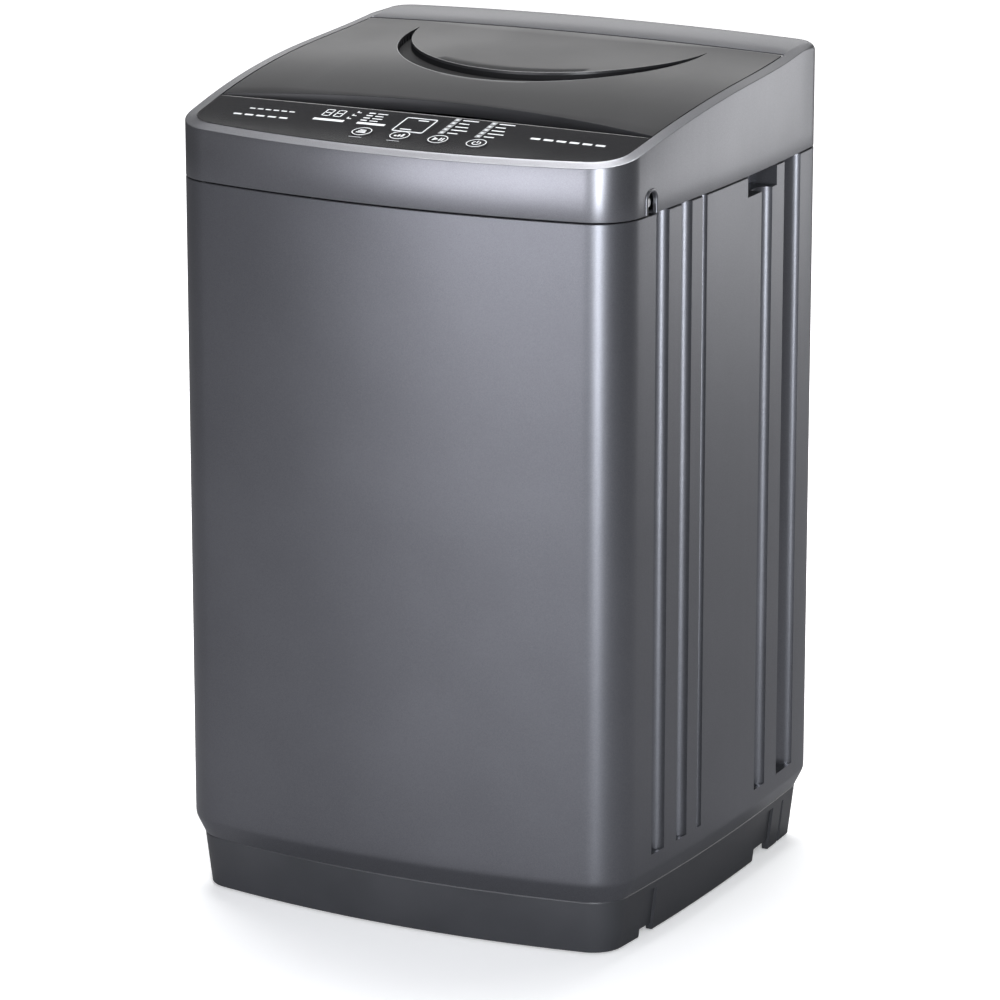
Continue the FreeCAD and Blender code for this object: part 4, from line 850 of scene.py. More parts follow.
# ---------------------------------------------------------------- plinth
@dataclass
class Plinth:
    """The dark base: tapered skirt with blocks and recessed panels, deck with a service hole."""

    shop: Workshop
    outline: Outline
    low: float
    top: float
    inset_top: float = 9.4
    inset_low: float = 15.9
    wall: float = 4.0
    hole: float = 120.0
    panel: float = 3.0
    panels: tuple[tuple[float, float, float], ...] = ((-144.0, -117.0, 6.0), (119.0, 162.0, 10.0))
    slot: tuple[float, float] = (186.0, 191.0)
    ledge: float = 8.0
    edge: float = 1.2
    boss: tuple[float, float, float] = (15.0, 5.2, 13.0)

    def build(self) -> None:
        """The skirt as a closed profile carried round the outline.

        The rows go up the outside, in along the deck to the hole, and back down the inside. The
        recessed panels and the slot add to the inset below the ledge. The panels' feet are raised.
        """
        marks = np.array([edge + off for low, high, _ in (*self.panels, (*self.slot, 0.0))
                          for edge, off in ((low, -0.4), (low, 0.0), (high, 0.0), (high, 0.4))])
        side_y = np.unique(np.concatenate([marks, np.linspace(-215.0, 210.0, 30)]))
        ring = self.outline.perimeter(side_y, np.linspace(210.0, 0.0, 10))
        plan, side = ring.at(0.0), ring.side() != 0
        y = plan[:, 1]
        deep, raised = np.zeros(len(y)), np.zeros(len(y))
        for low, high, lift in self.panels:
            inside = side & (y >= low - 1e-6) & (y <= high + 1e-6)
            deep = np.where(inside, self.panel, deep)
            raised = np.where(inside, lift, raised)
        slot = side & (y >= self.slot[0] - 1e-6) & (y <= self.slot[1] + 1e-6)
        deep = np.where(slot, self.panel * 0.6, deep)
        height = self.top - self.low
        base = self.low + raised
        edge = self.edge
        ledge = self.top - self.ledge
        rows = [(base, self.panel, edge), (base + edge * 0.3, self.panel, edge * 0.3),
                (base + edge, self.panel, 0.0), (np.full_like(y, ledge - 2.0), self.panel, 0.0),
                (np.full_like(y, ledge), 0.0, 0.0), (np.full_like(y, self.top - edge), 0.0, 0.0),
                (np.full_like(y, self.top), 0.0, edge * 0.6)]
        layers = []
        for z, share, extra in rows:
            slant = self.inset_low + (self.inset_top - self.inset_low) * (z - self.low) / height
            inset = slant + extra + deep * (share / self.panel)
            layers.append(np.column_stack([ring.at(inset), z]))
        lip = ring.at(self.inset_top + 6.0)
        angle = np.arctan2(plan[:, 1], plan[:, 0])
        circle = np.stack([self.hole * np.cos(angle), self.hole * np.sin(angle)], axis=1)
        under = self.top - self.wall
        for share, z in ((0.0, self.top), (0.5, self.top), (0.97, self.top), (1.0, self.top - 1.0),
                         (1.0, under - 3.0), (0.96, under - 3.0), (0.95, under), (0.5, under)):
            spot = lip + (circle - lip) * share
            layers.append(np.column_stack([spot, np.full(len(y), z)]))
        layers.append(np.column_stack([ring.at(self.inset_top + self.wall + self.panel),
                                       np.full(len(y), under)]))
        layers.append(np.column_stack([ring.at(self.inset_low + self.wall + self.panel), base]))
        points = np.stack(layers)
        skirt = (points, grid_faces(len(layers), len(y), loop_rows=True, loop_columns=True))
        self.shop.piece("plinth_moulding", joined(skirt, *self.foot_bosses()), "plinth_plastic",
                        "cabinet", ("base_plinth",))

    def foot_bosses(self) -> list[tuple[Array, Array]]:
        """A hollow boss with round edges above each foot, seated in the deck.

        The boss is given by its outer radius, its bore and the height of its lower end.
        """
        low, high = node_box("fixed_feet")
        pad = node_box("levelling_foot")
        radius = (pad[1][0] - pad[0][0]) / 2
        x, y = high[0] - radius, high[1] - radius
        outer, bore, foot = self.boss
        seat = self.top - 3.0
        profile = rounded_loop([(outer, foot, 1.5), (outer, seat, 0.5), (bore, seat, 0.5),
                                (bore, foot, 0.5)])
        return [revolved(profile, 28, sx * x, sy * y) for sx in (-1, 1) for sy in (-1, 1)]


# ---------------------------------------------------------------- top cover
@dataclass
class TopCover:
    """The top cover: side walls, chamfered ring, rear band, bed for the lid, mouth's collar."""

    shop: Workshop
    outline: Outline
    top: TopLine
    low: float
    ring: float = 12.0
    front_drop: float = 3.0
    side_drop: float = 1.2
    rear_round: float = 9.0
    fascia_rear: float = -137.0
    lid_rear: float = 168.0
    bed: float = 14.0
    hollow: float = 17.0
    skin: float = 3.0
    mouth: float = 138.0
    mouth_y: float = 8.0
    arch_y: float = -157.5
    arch_z: float = 755.0
    arch_radius: float = 8.0
    arch_depth: float = 3.2
    edge: float = 0.5

    def edge_drop(self, inset: Array, y: Array) -> Array:
        """How far the ring lies below the top's surface at an inset from the outline.

        In front and along the sides it is a straight chamfer that ends at the ring's inner edge; at
        the back it is a quarter circle of the rear radius. A soft step along y blends the two.
        """
        to_front = 1.0 - smoothstep(-225.0, -165.0, y)
        drop = self.side_drop + (self.front_drop - self.side_drop) * to_front
        chamfer = drop * np.clip(1.0 - inset / self.ring, 0.0, 1.0)
        crisp = self.edge * np.clip(1.0 - inset / self.edge, 0.0, 1.0) ** 2
        r = self.rear_round
        quarter = r - np.sqrt(np.maximum(r * r - np.clip(r - inset, 0.0, r) ** 2, 0.0))
        share = smoothstep(185.0, 236.0, y)
        return (1.0 - share) * (chamfer + crisp) + share * quarter

    def build(self) -> None:
        """The cover as one closed profile carried round the outline, with two arched notches."""
        side_y = np.unique(np.concatenate([np.linspace(-215.0, 214.0, 44),
                                           [self.fascia_rear, self.lid_rear]]))
        ring = self.outline.perimeter(side_y, np.linspace(215.0, 0.0, 12), corner_count=22)
        outline_y = ring.at(0.0)[:, 1]
        foot = ((0.7, 0.0), (0.15, 0.3), (0.0, 1.0), (0.0, 16.0))
        layers = [self.level(ring, inset, rise) for inset, rise in foot]
        insets = (0.0, 0.12, 0.3, self.edge, 1.2, 2.4, 4.0, 6.0, 8.0, 10.0, self.ring - 0.6)
        for inset in insets:
            spot = ring.at(inset)
            drop = self.edge_drop(np.full(len(spot), inset), outline_y)
            layers.append(self.top.point(spot[:, 0], spot[:, 1], drop))
        inner = ring.at(self.ring)
        behind = inner[:, 1] > self.lid_rear
        inner = np.where(behind[:, None],
                         np.stack([inner[:, 0], np.full(len(inner), self.lid_rear)], axis=1), inner)
        edge_spot = ring.at(self.ring - 0.6)
        for share in (0.33, 0.66, 0.94):
            spot = edge_spot + (inner - edge_spot) * share
            layers.append(self.top.point(spot[:, 0], spot[:, 1]))
        layers.append(self.top.point(inner[:, 0], inner[:, 1], 0.5))
        layers += self.bed_rows(inner)
        layers += self.under_rows(ring, inner)
        points = np.stack(layers)
        faces = grid_faces(len(layers), points.shape[1], loop_rows=True, loop_columns=True)
        cover = self.shop.mesh_object("top_cover_moulding", (points, faces))
        notch = self.notch()
        self.shop.carve(cover, joined(notch, mirrored(notch)))
        self.shop.finish(cover, "cover_paint", "cabinet", ("top_cover",))
        rim = self.notch_rim()
        self.shop.piece("notch_rims", joined(rim, mirrored(rim)), "cover_paint", "cabinet")

    def level(self, ring: Perimeter, inset: float, rise: float) -> Array:
        """The outline moved in, at a rise above the cover's lower edge."""
        spot = ring.at(inset)
        return np.column_stack([spot, np.full(len(spot), self.low + rise)])

    def mouth_spot(self, inner: Array) -> Array:
        """For each point of the ring's inner edge, the point of the mouth's circle towards it."""
        centre = np.array([0.0, self.mouth_y])
        ray = inner - centre
        return centre + ray / np.linalg.norm(ray, axis=1, keepdims=True) * self.mouth

    def bed_rows(self, inner: Array) -> list[Array]:
        """Rows down the ring's inner wall, through the fascia's hollow, over the bed to the mouth.

        The line from a point of the inner edge to the mouth is cut where it passes behind the
        fascia. Before the cut the floor is the hollow's, behind it the bed's, and a riser stands
        between them.
        """
        mouth = self.mouth_spot(inner)
        x, y = inner[:, 0], inner[:, 1]
        front = y < self.fascia_rear
        share = np.where(front, (self.fascia_rear - y) / np.where(front, mouth[:, 1] - y, 1.0), 0.0)
        cut = inner + (mouth - inner) * share[:, None]
        before = inner + (mouth - inner) * np.maximum(share - 0.02, 0.0)[:, None]
        deck = np.where(front, self.hollow, self.bed)
        riser = np.where(front, 3.3, self.bed)
        rows = [self.top.point(x, y, deck), self.top.point(before[:, 0], before[:, 1], deck),
                self.top.point(before[:, 0], before[:, 1], riser),
                self.top.point(cut[:, 0], cut[:, 1], riser),
                self.top.point(cut[:, 0], cut[:, 1], self.bed - 1.0 * front),
                self.top.point(*cut.T, self.bed)]
        for part in (0.05, 0.3, 0.6, 0.85, 0.97):
            spot = cut + (mouth - cut) * part
            rows.append(self.top.point(spot[:, 0], spot[:, 1], self.bed))
        for reach, drop in ((-0.6, 0.2), (-0.15, 0.8), (0.0, 2.0)):
            spot = mouth + (mouth - (0.0, self.mouth_y)) / self.mouth * -reach
            rows.append(self.top.point(spot[:, 0], spot[:, 1], self.bed + drop))
        return rows

    def under_rows(self, ring: Perimeter, inner: Array) -> list[Array]:
        """Rows round the collar's foot, back out under the bed and down inside the side walls."""
        mouth = self.mouth_spot(inner)
        out = (mouth - (0.0, self.mouth_y)) / self.mouth
        floor = node_box("top_cover")[0][2] + 0.1
        rows = []
        for reach, rise in ((0.0, 1.0), (0.6, 0.2), (1.5, 0.0), (2.4, 0.2), (self.skin, 1.0)):
            rows.append(np.column_stack([mouth + out * reach, np.full(len(mouth), floor + rise)]))
        spot = mouth + out * self.skin
        deep = max(self.bed, self.hollow) + self.skin
        rows.append(self.top.point(spot[:, 0], spot[:, 1], deep))
        spot = ring.at(self.skin + 0.5)
        rows.append(self.top.point(spot[:, 0], spot[:, 1], deep))
        spot = ring.at(self.skin)
        rows.append(self.top.point(spot[:, 0], spot[:, 1], deep + 1.0))
        rows.append(self.level(ring, self.skin, 0.0))
        return rows

    def arch_path(self, radius: float, low: float, steps: int = 17) -> Array:
        """Points (y, z) up one leg of the arch, over its half circle and down the other leg."""
        turn = np.linspace(0.0, math.pi, steps)
        curve = np.stack([self.arch_y + radius * np.cos(turn), self.arch_z + radius * np.sin(turn)],
                         axis=1)
        return np.concatenate([[[self.arch_y + radius, low]], curve, [[self.arch_y - radius, low]]])

    def notch(self) -> tuple[Array, Array]:
        """The arch as a closed block, from outside the wall to the notch's floor."""
        path = self.arch_path(self.arch_radius, self.low - 20.0)
        middle = np.array([self.arch_y, self.low])
        face = float(self.outline.half_width(self.arch_y))
        layers = []
        for scale, x in ((0.0, face + 8), (1.0, face + 8), (1.0, face - self.arch_depth),
                         (0.0, face - self.arch_depth)):
            spot = middle + (path - middle) * scale
            layers.append(np.column_stack([np.full(len(path), x), spot]))
        points = np.stack(layers)
        faces = grid_faces(len(layers), len(path), loop_columns=True)
        return points, faces[:, ::-1]

    def notch_rim(self) -> tuple[Array, Array]:
        """A raised half round bead along the arch, bedded in the wall."""
        width, rise, bedded, facets = 1.7, 1.7, 0.15, 14
        path = self.arch_path(self.arch_radius + width + 0.2, self.low + 0.4, 25)
        along = np.gradient(path, axis=0)
        along /= np.linalg.norm(along, axis=1, keepdims=True)
        across = np.stack([along[:, 1], -along[:, 0]], axis=1)
        turn = np.linspace(0.0, 2.0 * math.pi, facets, endpoint=False)
        yz = path[None] + across[None] * (width * np.cos(turn))[:, None, None]
        face = self.outline.half_width(yz[..., 0])
        x = face + (rise * np.sin(turn))[:, None] - bedded
        tube = np.concatenate([x[..., None], yz], axis=2)
        ends = np.tile(path[None, [0, -1]], (facets, 1, 1))
        caps = np.concatenate([self.outline.half_width(ends[..., :1]), ends], axis=2)
        tube = np.concatenate([caps[:, :1], tube, caps[:, 1:]], axis=1)
        faces = grid_faces(facets, tube.shape[1], loop_rows=True)
        return tube, faces[:, ::-1]


# ---------------------------------------------------------------- fascia, marks and keys
@dataclass
class Fascia:
    """The gloss control plate with its printed marks."""

    shop: Workshop
    outline: Outline
    top: TopLine
    edge_inset: float
    rear: float = -137.0
    gap: float = 0.35
    thick: float = 3.0
    key_row: float = -195.0
    key_hole: float = 11.3
    keys: tuple[str, ...] = ("program_key", "level_key", "start_key", "power_key")
    headings: tuple[float, ...] = (-112.0, -63.0)
    digits: tuple[float, ...] = (-109.0, -96.0)
    lamp: float = 3.0

    def key_places(self) -> list[float]:
        """Middles of the keys, across."""
        return [float(sum(corner[0] for corner in node_box(key)) / 2) for key in self.keys]

    def build(self) -> None:
        """The plate as a grid from its front edge to its rear edge, with round holes for the keys.

        Each column stands on a point of the inset outline and runs straight back to the rear edge.
        Rows close to both edges round them over.
        """
        ring = self.outline.perimeter(np.linspace(-215.0, 215.0, 80), np.array([0.0]),
                                      front_count=60)
        spot = ring.at(self.edge_inset + self.gap)
        back = self.rear - self.gap
        right = spot[(spot[:, 0] >= 0.0) & (spot[:, 1] < back - 0.5)]
        corner = np.array([[float(self.outline.half_width(back, self.edge_inset + self.gap)),
                            back - 0.3]])
        right = np.concatenate([right, corner])
        line = np.concatenate([right[::-1] * (-1.0, 1.0), right[1:]])
        x, front = line[:, 0], line[:, 1]
        distance = np.array([0.0, 0.15, 0.5])
        shares = np.linspace(0.03, 0.97, 12)
        span = back - front
        near = np.minimum(distance[:, None], 0.4 * span)
        y = np.concatenate([front + near, front + shares[:, None] * span, back - near[::-1]])
        ends = np.array([0.55, 0.15, 0.0])
        drop = np.concatenate([ends, np.zeros(len(shares)), ends[::-1]])[:, None]
        outer = self.top.point(np.broadcast_to(x, y.shape), y, drop)
        inner = self.top.point(np.broadcast_to(x, y.shape), y, self.thick)
        plate = self.shop.mesh_object("fascia_plate", two_sides(outer, inner))
        height = float(self.top.height(np.array(0.0), np.array(self.key_row)))
        cylinder = rounded_loop([(self.key_hole, -12.0, 0.1), (self.key_hole, 12.0, 0.1),
                                 (0.0, 12.0, 0.0), (0.0, -12.0, 0.0)], 2)
        holes = []
        for key_x in self.key_places():
            points, faces = revolved(cylinder, 48, key_x, self.key_row)
            holes.append((points + (0.0, 0.0, height), faces))
        self.shop.carve(plate, joined(*holes))
        self.shop.finish(plate, "fascia_gloss", "cabinet", ("control_fascia",))

    def plate(self, x: Array, y: Array, loop: bool = False,
              thick: float = 0.12) -> tuple[Array, Array]:
        """A thin printed mark on the top: a grid of places, a hair above it, with a thickness."""
        return two_sides(self.top.point(x, y, -thick), self.top.point(x, y, 0.05), loop=loop)

    def bar(self, x: float, y: float, width: float, height: float,
            thick: float = 0.12) -> tuple[Array, Array]:
        """A printed bar from its left end and its front edge."""
        steps = np.linspace(0.0, width, 5)
        return self.plate(x + np.tile(steps, (2, 1)), y + np.array([[0.0], [height]]) + 0.0 * steps,
                          thick=thick)

    def frame(self, low: tuple[float, float], high: tuple[float, float], line: float,
              thick: float = 0.12) -> tuple[Array, Array]:
        """A printed outline of a box with round corners."""
        loops = []
        for grow in (0.0, -line):
            x0, y0, x1, y1 = low[0] - grow, low[1] - grow, high[0] + grow, high[1] + grow
            loops.append(rounded_loop([(x0, y0, 2.5 + grow), (x1, y0, 2.5 + grow),
                                       (x1, y1, 2.5 + grow), (x0, y1, 2.5 + grow)], 5))
        both = np.stack(loops)
        return self.plate(both[..., 0], both[..., 1], loop=True, thick=thick)

    def digit(self, x: float, y: float) -> list[tuple[Array, Array]]:
        """The seven bars of a digit, unlit, from its lower left corner."""
        wide, tall, line = 9.0, 16.0, 1.1
        half = tall / 2
        flat = [self.bar(x + line, y + level, wide - 2 * line, line)
                for level in (0.0, half - line / 2, tall - line)]
        upright = [self.bar(x + across, y + level, line, half - line * 1.4)
                   for across in (0.0, wide - line) for level in (line * 0.9, half + line * 0.5)]
        return flat + upright

    def dress(self) -> None:
        """Printed marks: bars, digits, ticks, the display's outline, lamp windows and dashes."""
        low, high = node_box("display_window")
        white = [self.bar(x, -175.5, width, 4.6) for x, width in zip(self.headings, (34.0, 31.0))]
        glass = float(high[2] - self.top.height(np.array(0.0), np.array(high[1]))) + 0.35
        white += [self.frame((low[0] + 4.5, low[1] - 0.5), (high[0] - 4.5, high[1] - 5.0), 1.2,
                             glass)]
        white += [bar for x in self.digits for bar in self.digit(x, -164.0)]
        for k, y in enumerate((-166.0, -158.0, -150.0)):
            white += [self.bar(-79.0 + 1.5 * k, y, 5.0, 1.3),
                      self.bar(-79.0 + 1.5 * k, y, 1.3, 4.0)]
        for k, y in enumerate((-167.0, -161.0, -155.0, -149.0)):
            white += [self.bar(-63.0, y, 7.0, 2.0), self.bar(-53.0, y, 9.0 + 2.0 * (k % 2), 1.6)]
        lamps_low, lamps_high = node_box("indicator_lamps")
        columns = (lamps_low[0] + self.lamp / 2, lamps_high[0] - self.lamp / 2)
        rows = np.linspace(lamps_low[1] + self.lamp / 2, lamps_high[1] - self.lamp / 2, 5)
        for x in columns:
            for k, y in enumerate(rows):
                white += [self.bar(x + 6.0, float(y) - 0.8, 11.0 + 3.0 * ((k * 2) % 3), 1.7)]
        white += [self.bar(-12.0, -179.0, 12.0, 1.5, glass),
                  self.bar(-4.0, -155.5, 11.0, 1.6, glass)]
        white += [self.bar(key_x - 7.0, self.key_row - 14.5, 14.0, 0.5)
                  for key_x in self.key_places()[:2]]
        white += [self.bar(-199.0 + 13.0 * k, -181.0, 9.0, 3.0) for k in range(5)]
        white += [self.bar(-190.0 + 9.0 * k, -164.0, 6.0, 2.0) for k in range(6)]
        white += [self.bar(126.0 + 14.0 * k, -170.0, 10.0, 3.6) for k in range(6)]
        self.shop.piece("fascia_marks", joined(*white), "print", "cabinet", slot="fascia_gloss")
        grey = [self.bar(x - 3.0, float(y) - 3.3, 6.0, 6.6) for x in columns for y in rows]
        self.shop.piece("lamp_windows", joined(*grey), "print_grey", "cabinet", slot="lamp")


class Icon(Enum):
    """The generic sign on a key."""

    PROGRAM = "three lines"
    LEVEL = "rising steps"
    START = "a wedge and two bars"
    POWER = "an open ring and a stroke"


@dataclass
class Key:
    """A round sprung key with a dished cap and a ringed sign."""

    shop: Workshop
    top: TopLine
    node: str
    icon: Icon
    row: float = -195.0
    radius: float = 11.0
    rise: float = 0.9

    def seat(self) -> tuple[Array, Array, Array]:
        """The key's place on the top, the way up its face and its axis.

        Returns:
            The place, the unit vector that points back along the face, and the face's normal.
        """
        low, high = node_box(self.node)
        x = (low[0] + high[0]) / 2
        z = float(self.top.height(np.array(0.0), np.array(self.row)))
        joint = next(joint for joint in frame["joints"] if joint["child"] == self.node)
        normal = -np.array(joint["axis"], float)
        normal /= np.linalg.norm(normal)
        back = np.array([0.0, normal[2], -normal[1]])
        return np.array([x, self.row, z]), back, normal

    def lay(self, u: Array, v: Array, w: Array) -> Array:
        """Points from across, back and out of the key's face."""
        place, back, normal = self.seat()
        u, v, w = np.broadcast_arrays(u, v, w)
        right = np.array([1.0, 0.0, 0.0])
        return place + u[..., None] * right + v[..., None] * back + w[..., None] * normal

    def mark(self, u: Array, v: Array, loop: bool = False) -> tuple[Array, Array]:
        """A thin printed mark on the cap."""
        return two_sides(self.lay(u, v, self.rise + 0.10 + 0.0 * u),
                         self.lay(u, v, self.rise - 0.4 + 0.0 * u), loop=loop)

    def bar(self, u: float, v: float, width: float, height: float) -> tuple[Array, Array]:
        """A printed bar from its lower left corner."""
        return self.mark(np.array([[u, u + width], [u, u + width]]),
                         np.array([[v, v], [v + height, v + height]]))

    def arc(self, radius: float, line: float, start: float, end: float,
            loop: bool = False) -> tuple[Array, Array]:
        """A printed ring, or a part of one, between two angles in degrees."""
        turn = np.radians(np.linspace(start, end, 41))
        turn = turn[:-1] if loop else turn
        radii = np.array([[radius], [radius - line]])
        return self.mark(radii * np.cos(turn), radii * np.sin(turn), loop)

    def signs(self) -> list[tuple[Array, Array]]:
        """The plates that make up the key's sign."""
        if self.icon is Icon.PROGRAM:
            return [self.bar(-5.0 + 0.8 * k, -3.6 + 3.0 * k, 10.0 - 1.6 * k, 1.5) for k in range(3)]
        if self.icon is Icon.LEVEL:
            return [self.bar(-5.0 + 3.6 * k, -3.6, 2.4, 2.6 + 2.2 * k) for k in range(3)]
        if self.icon is Icon.START:
            wedge = self.mark(np.array([[-5.0, -5.0], [0.2, 0.2]]),
                              np.array([[-3.8, 3.8], [-0.1, 0.1]])[:, ::-1])
            return [wedge, self.bar(1.8, -3.6, 1.5, 7.2), self.bar(4.6, -3.6, 1.5, 7.2)]
        return [self.arc(4.6, 1.1, 125.0, 415.0), self.bar(-0.6, 1.0, 1.2, 4.6)]

    def build(self) -> None:
        """The cap is turned from its profile: flanged skirt, round edge, shallow dish."""
        r, top = self.radius, self.rise
        dish = [(r * share, top - 0.12 * (1.0 - share ** 2)) for share in (0.8, 0.6, 0.4, 0.2)]
        profile = np.array([(0.0, -6.0), (3.0, -6.0), (3.0, -4.4), (r + 1.6, -4.4), (r + 1.8, -4.2),
                            (r + 1.8, -3.6), (r + 1.6, -3.4), (r, -3.4), (r, top - 0.6),
                            (r - 0.12, top - 0.25), (r - 0.35, top - 0.08), (r - 0.7, top), *dish,
                            (0.0, top - 0.12)])
        facets = 56
        angle = np.linspace(0.0, 2 * math.pi, facets, endpoint=False)
        radius = profile[:, :1]
        points = self.lay(radius * np.cos(angle), radius * np.sin(angle), profile[:, 1:])
        cap = (points, grid_faces(len(profile), facets, loop_columns=True))
        self.shop.piece(self.node + "_cap", cap, "fascia_gloss", self.node, (self.node,))
        marks = joined(self.arc(r - 0.9, 0.9, 0.0, 360.0, loop=True), *self.signs())
        self.shop.piece(self.node + "_sign", marks, "print", self.node, slot="fascia_gloss")


# ---------------------------------------------------------------- lid
@dataclass
class Lid:
    """The smoked lid: arched front edge, skirt, and a crescent sunk into its top as a grip."""

    shop: Workshop
    outline: Outline
    top: TopLine
    inset: float
    rear: float = 164.0
    front: float = -133.0
    front_rise: float = 30.0
    depth: float = 12.0
    skin: float = 3.0
    outer_radius: float = 165.0
    outer_y: float = 135.0
    inner_radius: float = 167.6
    inner_y: float = 169.6
    pocket: float = 8.0
    full_width: float = 14.0
    lip: float = 0.7
    blend: float = 200.0
    side_band: float = 36.0

    def front_edge(self, x: Array) -> Array:
        """The front edge: a circle through both front corners that rises back in the middle."""
        half = float(self.outline.half_width(self.front, self.inset))
        radius = (half ** 2 + self.front_rise ** 2) / (2 * self.front_rise)
        reach = np.sqrt(radius ** 2 - np.minimum(np.abs(x), half) ** 2)
        return self.front + self.front_rise - radius + reach

    def arcs(self, x: Array) -> tuple[Array, Array]:
        """The crescent's outer and inner arc at places across: centre - sqrt(r^2 - x^2)."""
        outer = self.outer_y - np.sqrt(np.maximum(self.outer_radius ** 2 - x ** 2, 0.0))
        return outer, self.inner_y - np.sqrt(self.inner_radius ** 2 - x ** 2)

    def sunk(self, width: Array) -> Array:
        """How deep the crescent is where it is that wide: its full depth from the full width on."""
        return self.pocket * np.clip(width / self.full_width, 0.0, 1.0)

    def columns(self) -> Array:
        """Places of the columns: up to 1 they are x over the blend line, past it to the edge."""
        turn = np.linspace(0.0, math.pi / 2, 30)
        inside = self.outer_radius * np.sin(turn) / self.blend
        outside = np.array([0.91, 1.0, 1.4, 1.8, 1.96, 2.0])
        half = np.concatenate([inside, outside])
        return np.concatenate([-half[:0:-1], half])

    def build(self) -> None:
        """The lid as a shell between a top grid and an inner one, the skirt as its outer rows.

        Along each column the rows are spread over three stretches: front edge to the crescent's
        outer arc, across the crescent, and on to the rear edge. Beside the crescent the middle
        stretch has no length.
        """
        outer = self.surface(0.0, 0.0)
        inner = self.surface(self.skin, self.skin)
        self.shop.piece("lid_moulding", two_sides(outer, inner), "lid_smoke", "lid", ("lid_panel",),
                        sharp=28.0)
        # the crescent's near-black lining is painted shade for the pocket's shadow
        self.shop.piece("crescent_painted_shade", self.pocket_shade_lining(), "inlay_black", "lid", ("lid_inlay",),
                        slot="lid_smoke")
        self.shop.piece("hinge_stubs", self.stubs(), "zinc_steel", "lid", ("hinge_pins",))
        # the bright lines on the crescent's lips are painted highlights
        self.shop.piece("crescent_painted_highlights", self.painted_lip_highlights(), "painted_lip_highlights", "lid", slot="lid_smoke")

    def surface(self, inward: float, down: float) -> Array:
        """The grid of one side of the lid.

        Args:
            inward: how far the skirt lies inside the lid's edge.
            down: how far the top lies below the lid's face.

        Returns:
            Points, rows by columns by 3.
        """
        share = self.columns()
        nominal = np.clip(share, -1.0, 1.0) * self.blend
        nominal = nominal + np.sign(share) * np.maximum(np.abs(share) - 1.0, 0.0) * self.side_band
        x = np.abs(nominal)
        outer_arc, inner_arc = self.arcs(np.minimum(x, self.outer_radius))
        tip = self.inner_y - math.sqrt(self.inner_radius ** 2 - self.outer_radius ** 2)
        inner_arc = np.where(x >= self.outer_radius - 1e-6, tip, inner_arc)
        outer_arc = np.where(x >= self.outer_radius - 1e-6, tip, outer_arc)
        depth = self.sunk(inner_arc - outer_arc)
        first, last = self.front_edge(nominal) + inward, np.full_like(x, self.rear - inward)
        edge = (0.0, 0.0, 0.15, 0.5, 1.1)
        edge_drop = (self.depth, 1.2, 0.45, 0.1, 0.0)
        rows_y, rows_drop = [], []
        for off, drop in zip(edge, edge_drop):
            rows_y.append(first + off)
            rows_drop.append(np.full_like(x, drop + down * (drop < self.depth)))
        for t in np.linspace(0.0, 1.0, 16)[1:-1]:
            start = first + edge[-1]
            rows_y.append(start + (outer_arc - self.lip - start) * t)
            rows_drop.append(np.full_like(x, down))
        width = inner_arc - outer_arc
        room = np.minimum(width * 0.3, 1.0)
        lip = np.minimum(self.lip, width * 0.2)
        crescent = ((-lip, 0.0, 0.0), (-0.3 * lip, 0.0, 0.03), (0.0, 0.0, 0.12),
                    (0.3 * room, 0.0, 0.8), (room, 0.0, 1.0), (room, 0.25, 1.0), (room, 0.5, 1.0),
                    (room, 0.75, 1.0), (-room, 1.0, 1.0), (-0.3 * room, 1.0, 0.8), (0.0, 1.0, 0.12),
                    (0.3 * lip, 1.0, 0.03), (lip, 1.0, 0.0))
        for off, t, fall in crescent:
            rows_y.append(outer_arc + width * t + off)
            rows_drop.append(depth * fall + down)
        for t in np.linspace(0.0, 1.0, 10)[1:-1]:
            start = inner_arc + lip
            rows_y.append(start + (last - edge[-1] - start) * t)
            rows_drop.append(np.full_like(x, down))
        for off, drop in zip(edge[::-1], edge_drop[::-1]):
            rows_y.append(last - off)
            rows_drop.append(np.full_like(x, drop + down * (drop < self.depth)))
        y = np.stack(rows_y)
        drop = np.stack(rows_drop)
        half = self.outline.half_width(y, self.inset + inward)
        past = np.maximum(np.abs(share) - 1.0, 0.0)
        width_x = np.clip(np.abs(share), 0.0, 1.0) * self.blend + past * (half - self.blend)
        points_x = np.sign(share) * width_x
        points = self.top.point(points_x, y, drop)
        return self.with_ends(points, half, inward, down)

    def with_ends(self, points: Array, half: Array, inward: float, down: float) -> Array:
        """Columns added at both ends that round the side edges over and go down the skirt."""
        low_drop = np.array([0.1, 0.45, 1.2, self.depth])
        off = np.array([0.5, 0.15, 0.0, 0.0])
        y = points[:, -1, 1]
        base = points[:, -1, 2]
        sides = []
        for k in range(4):
            x = half[:, -1] - off[k] + 0.5
            z = base - low_drop[k] + (down if low_drop[k] == self.depth else 0.0)
            floor = self.top.height(x, y) - self.depth
            sides.append(np.stack([x, y, np.maximum(z, floor)], axis=-1))
        right = np.stack(sides, axis=1)
        left = right[:, ::-1] * (-1.0, 1.0, 1.0)
        return np.concatenate([left, points, right], axis=1)

    def pocket_shade_lining(self) -> tuple[Array, Array]:
        """Painted shade: a thin near-black lining down the crescent's front wall, over its floor, up its rear.

        Each row is the outer arc plus a share of the width between the arcs. It falls to the depth
        of the pocket over the first and the last millimetre.
        """
        turn = np.linspace(-0.985, 0.985, 121) * math.pi / 2
        x = self.outer_radius * np.sin(turn)
        outer_arc, inner_arc = self.arcs(x)
        width = inner_arc - outer_arc
        depth = self.sunk(width)
        room = np.minimum(width * 0.3, 1.0)
        rows = ((0.15, 0.0, 0.35), (0.5, 0.0, 0.85), (1.1, 0.0, 1.0), (0.0, 0.3, 1.0),
                (0.0, 0.6, 1.0), (-1.1, 1.0, 1.0), (-0.5, 1.0, 0.85), (-0.15, 1.0, 0.35))
        y = np.stack([outer_arc + width * share + room * off for off, share, _ in rows])
        fall = np.stack([depth * part for _, _, part in rows])
        across = np.broadcast_to(x, y.shape)
        return two_sides(self.top.point(across, y, fall - 0.3),
                         self.top.point(across, y, fall + 0.3))

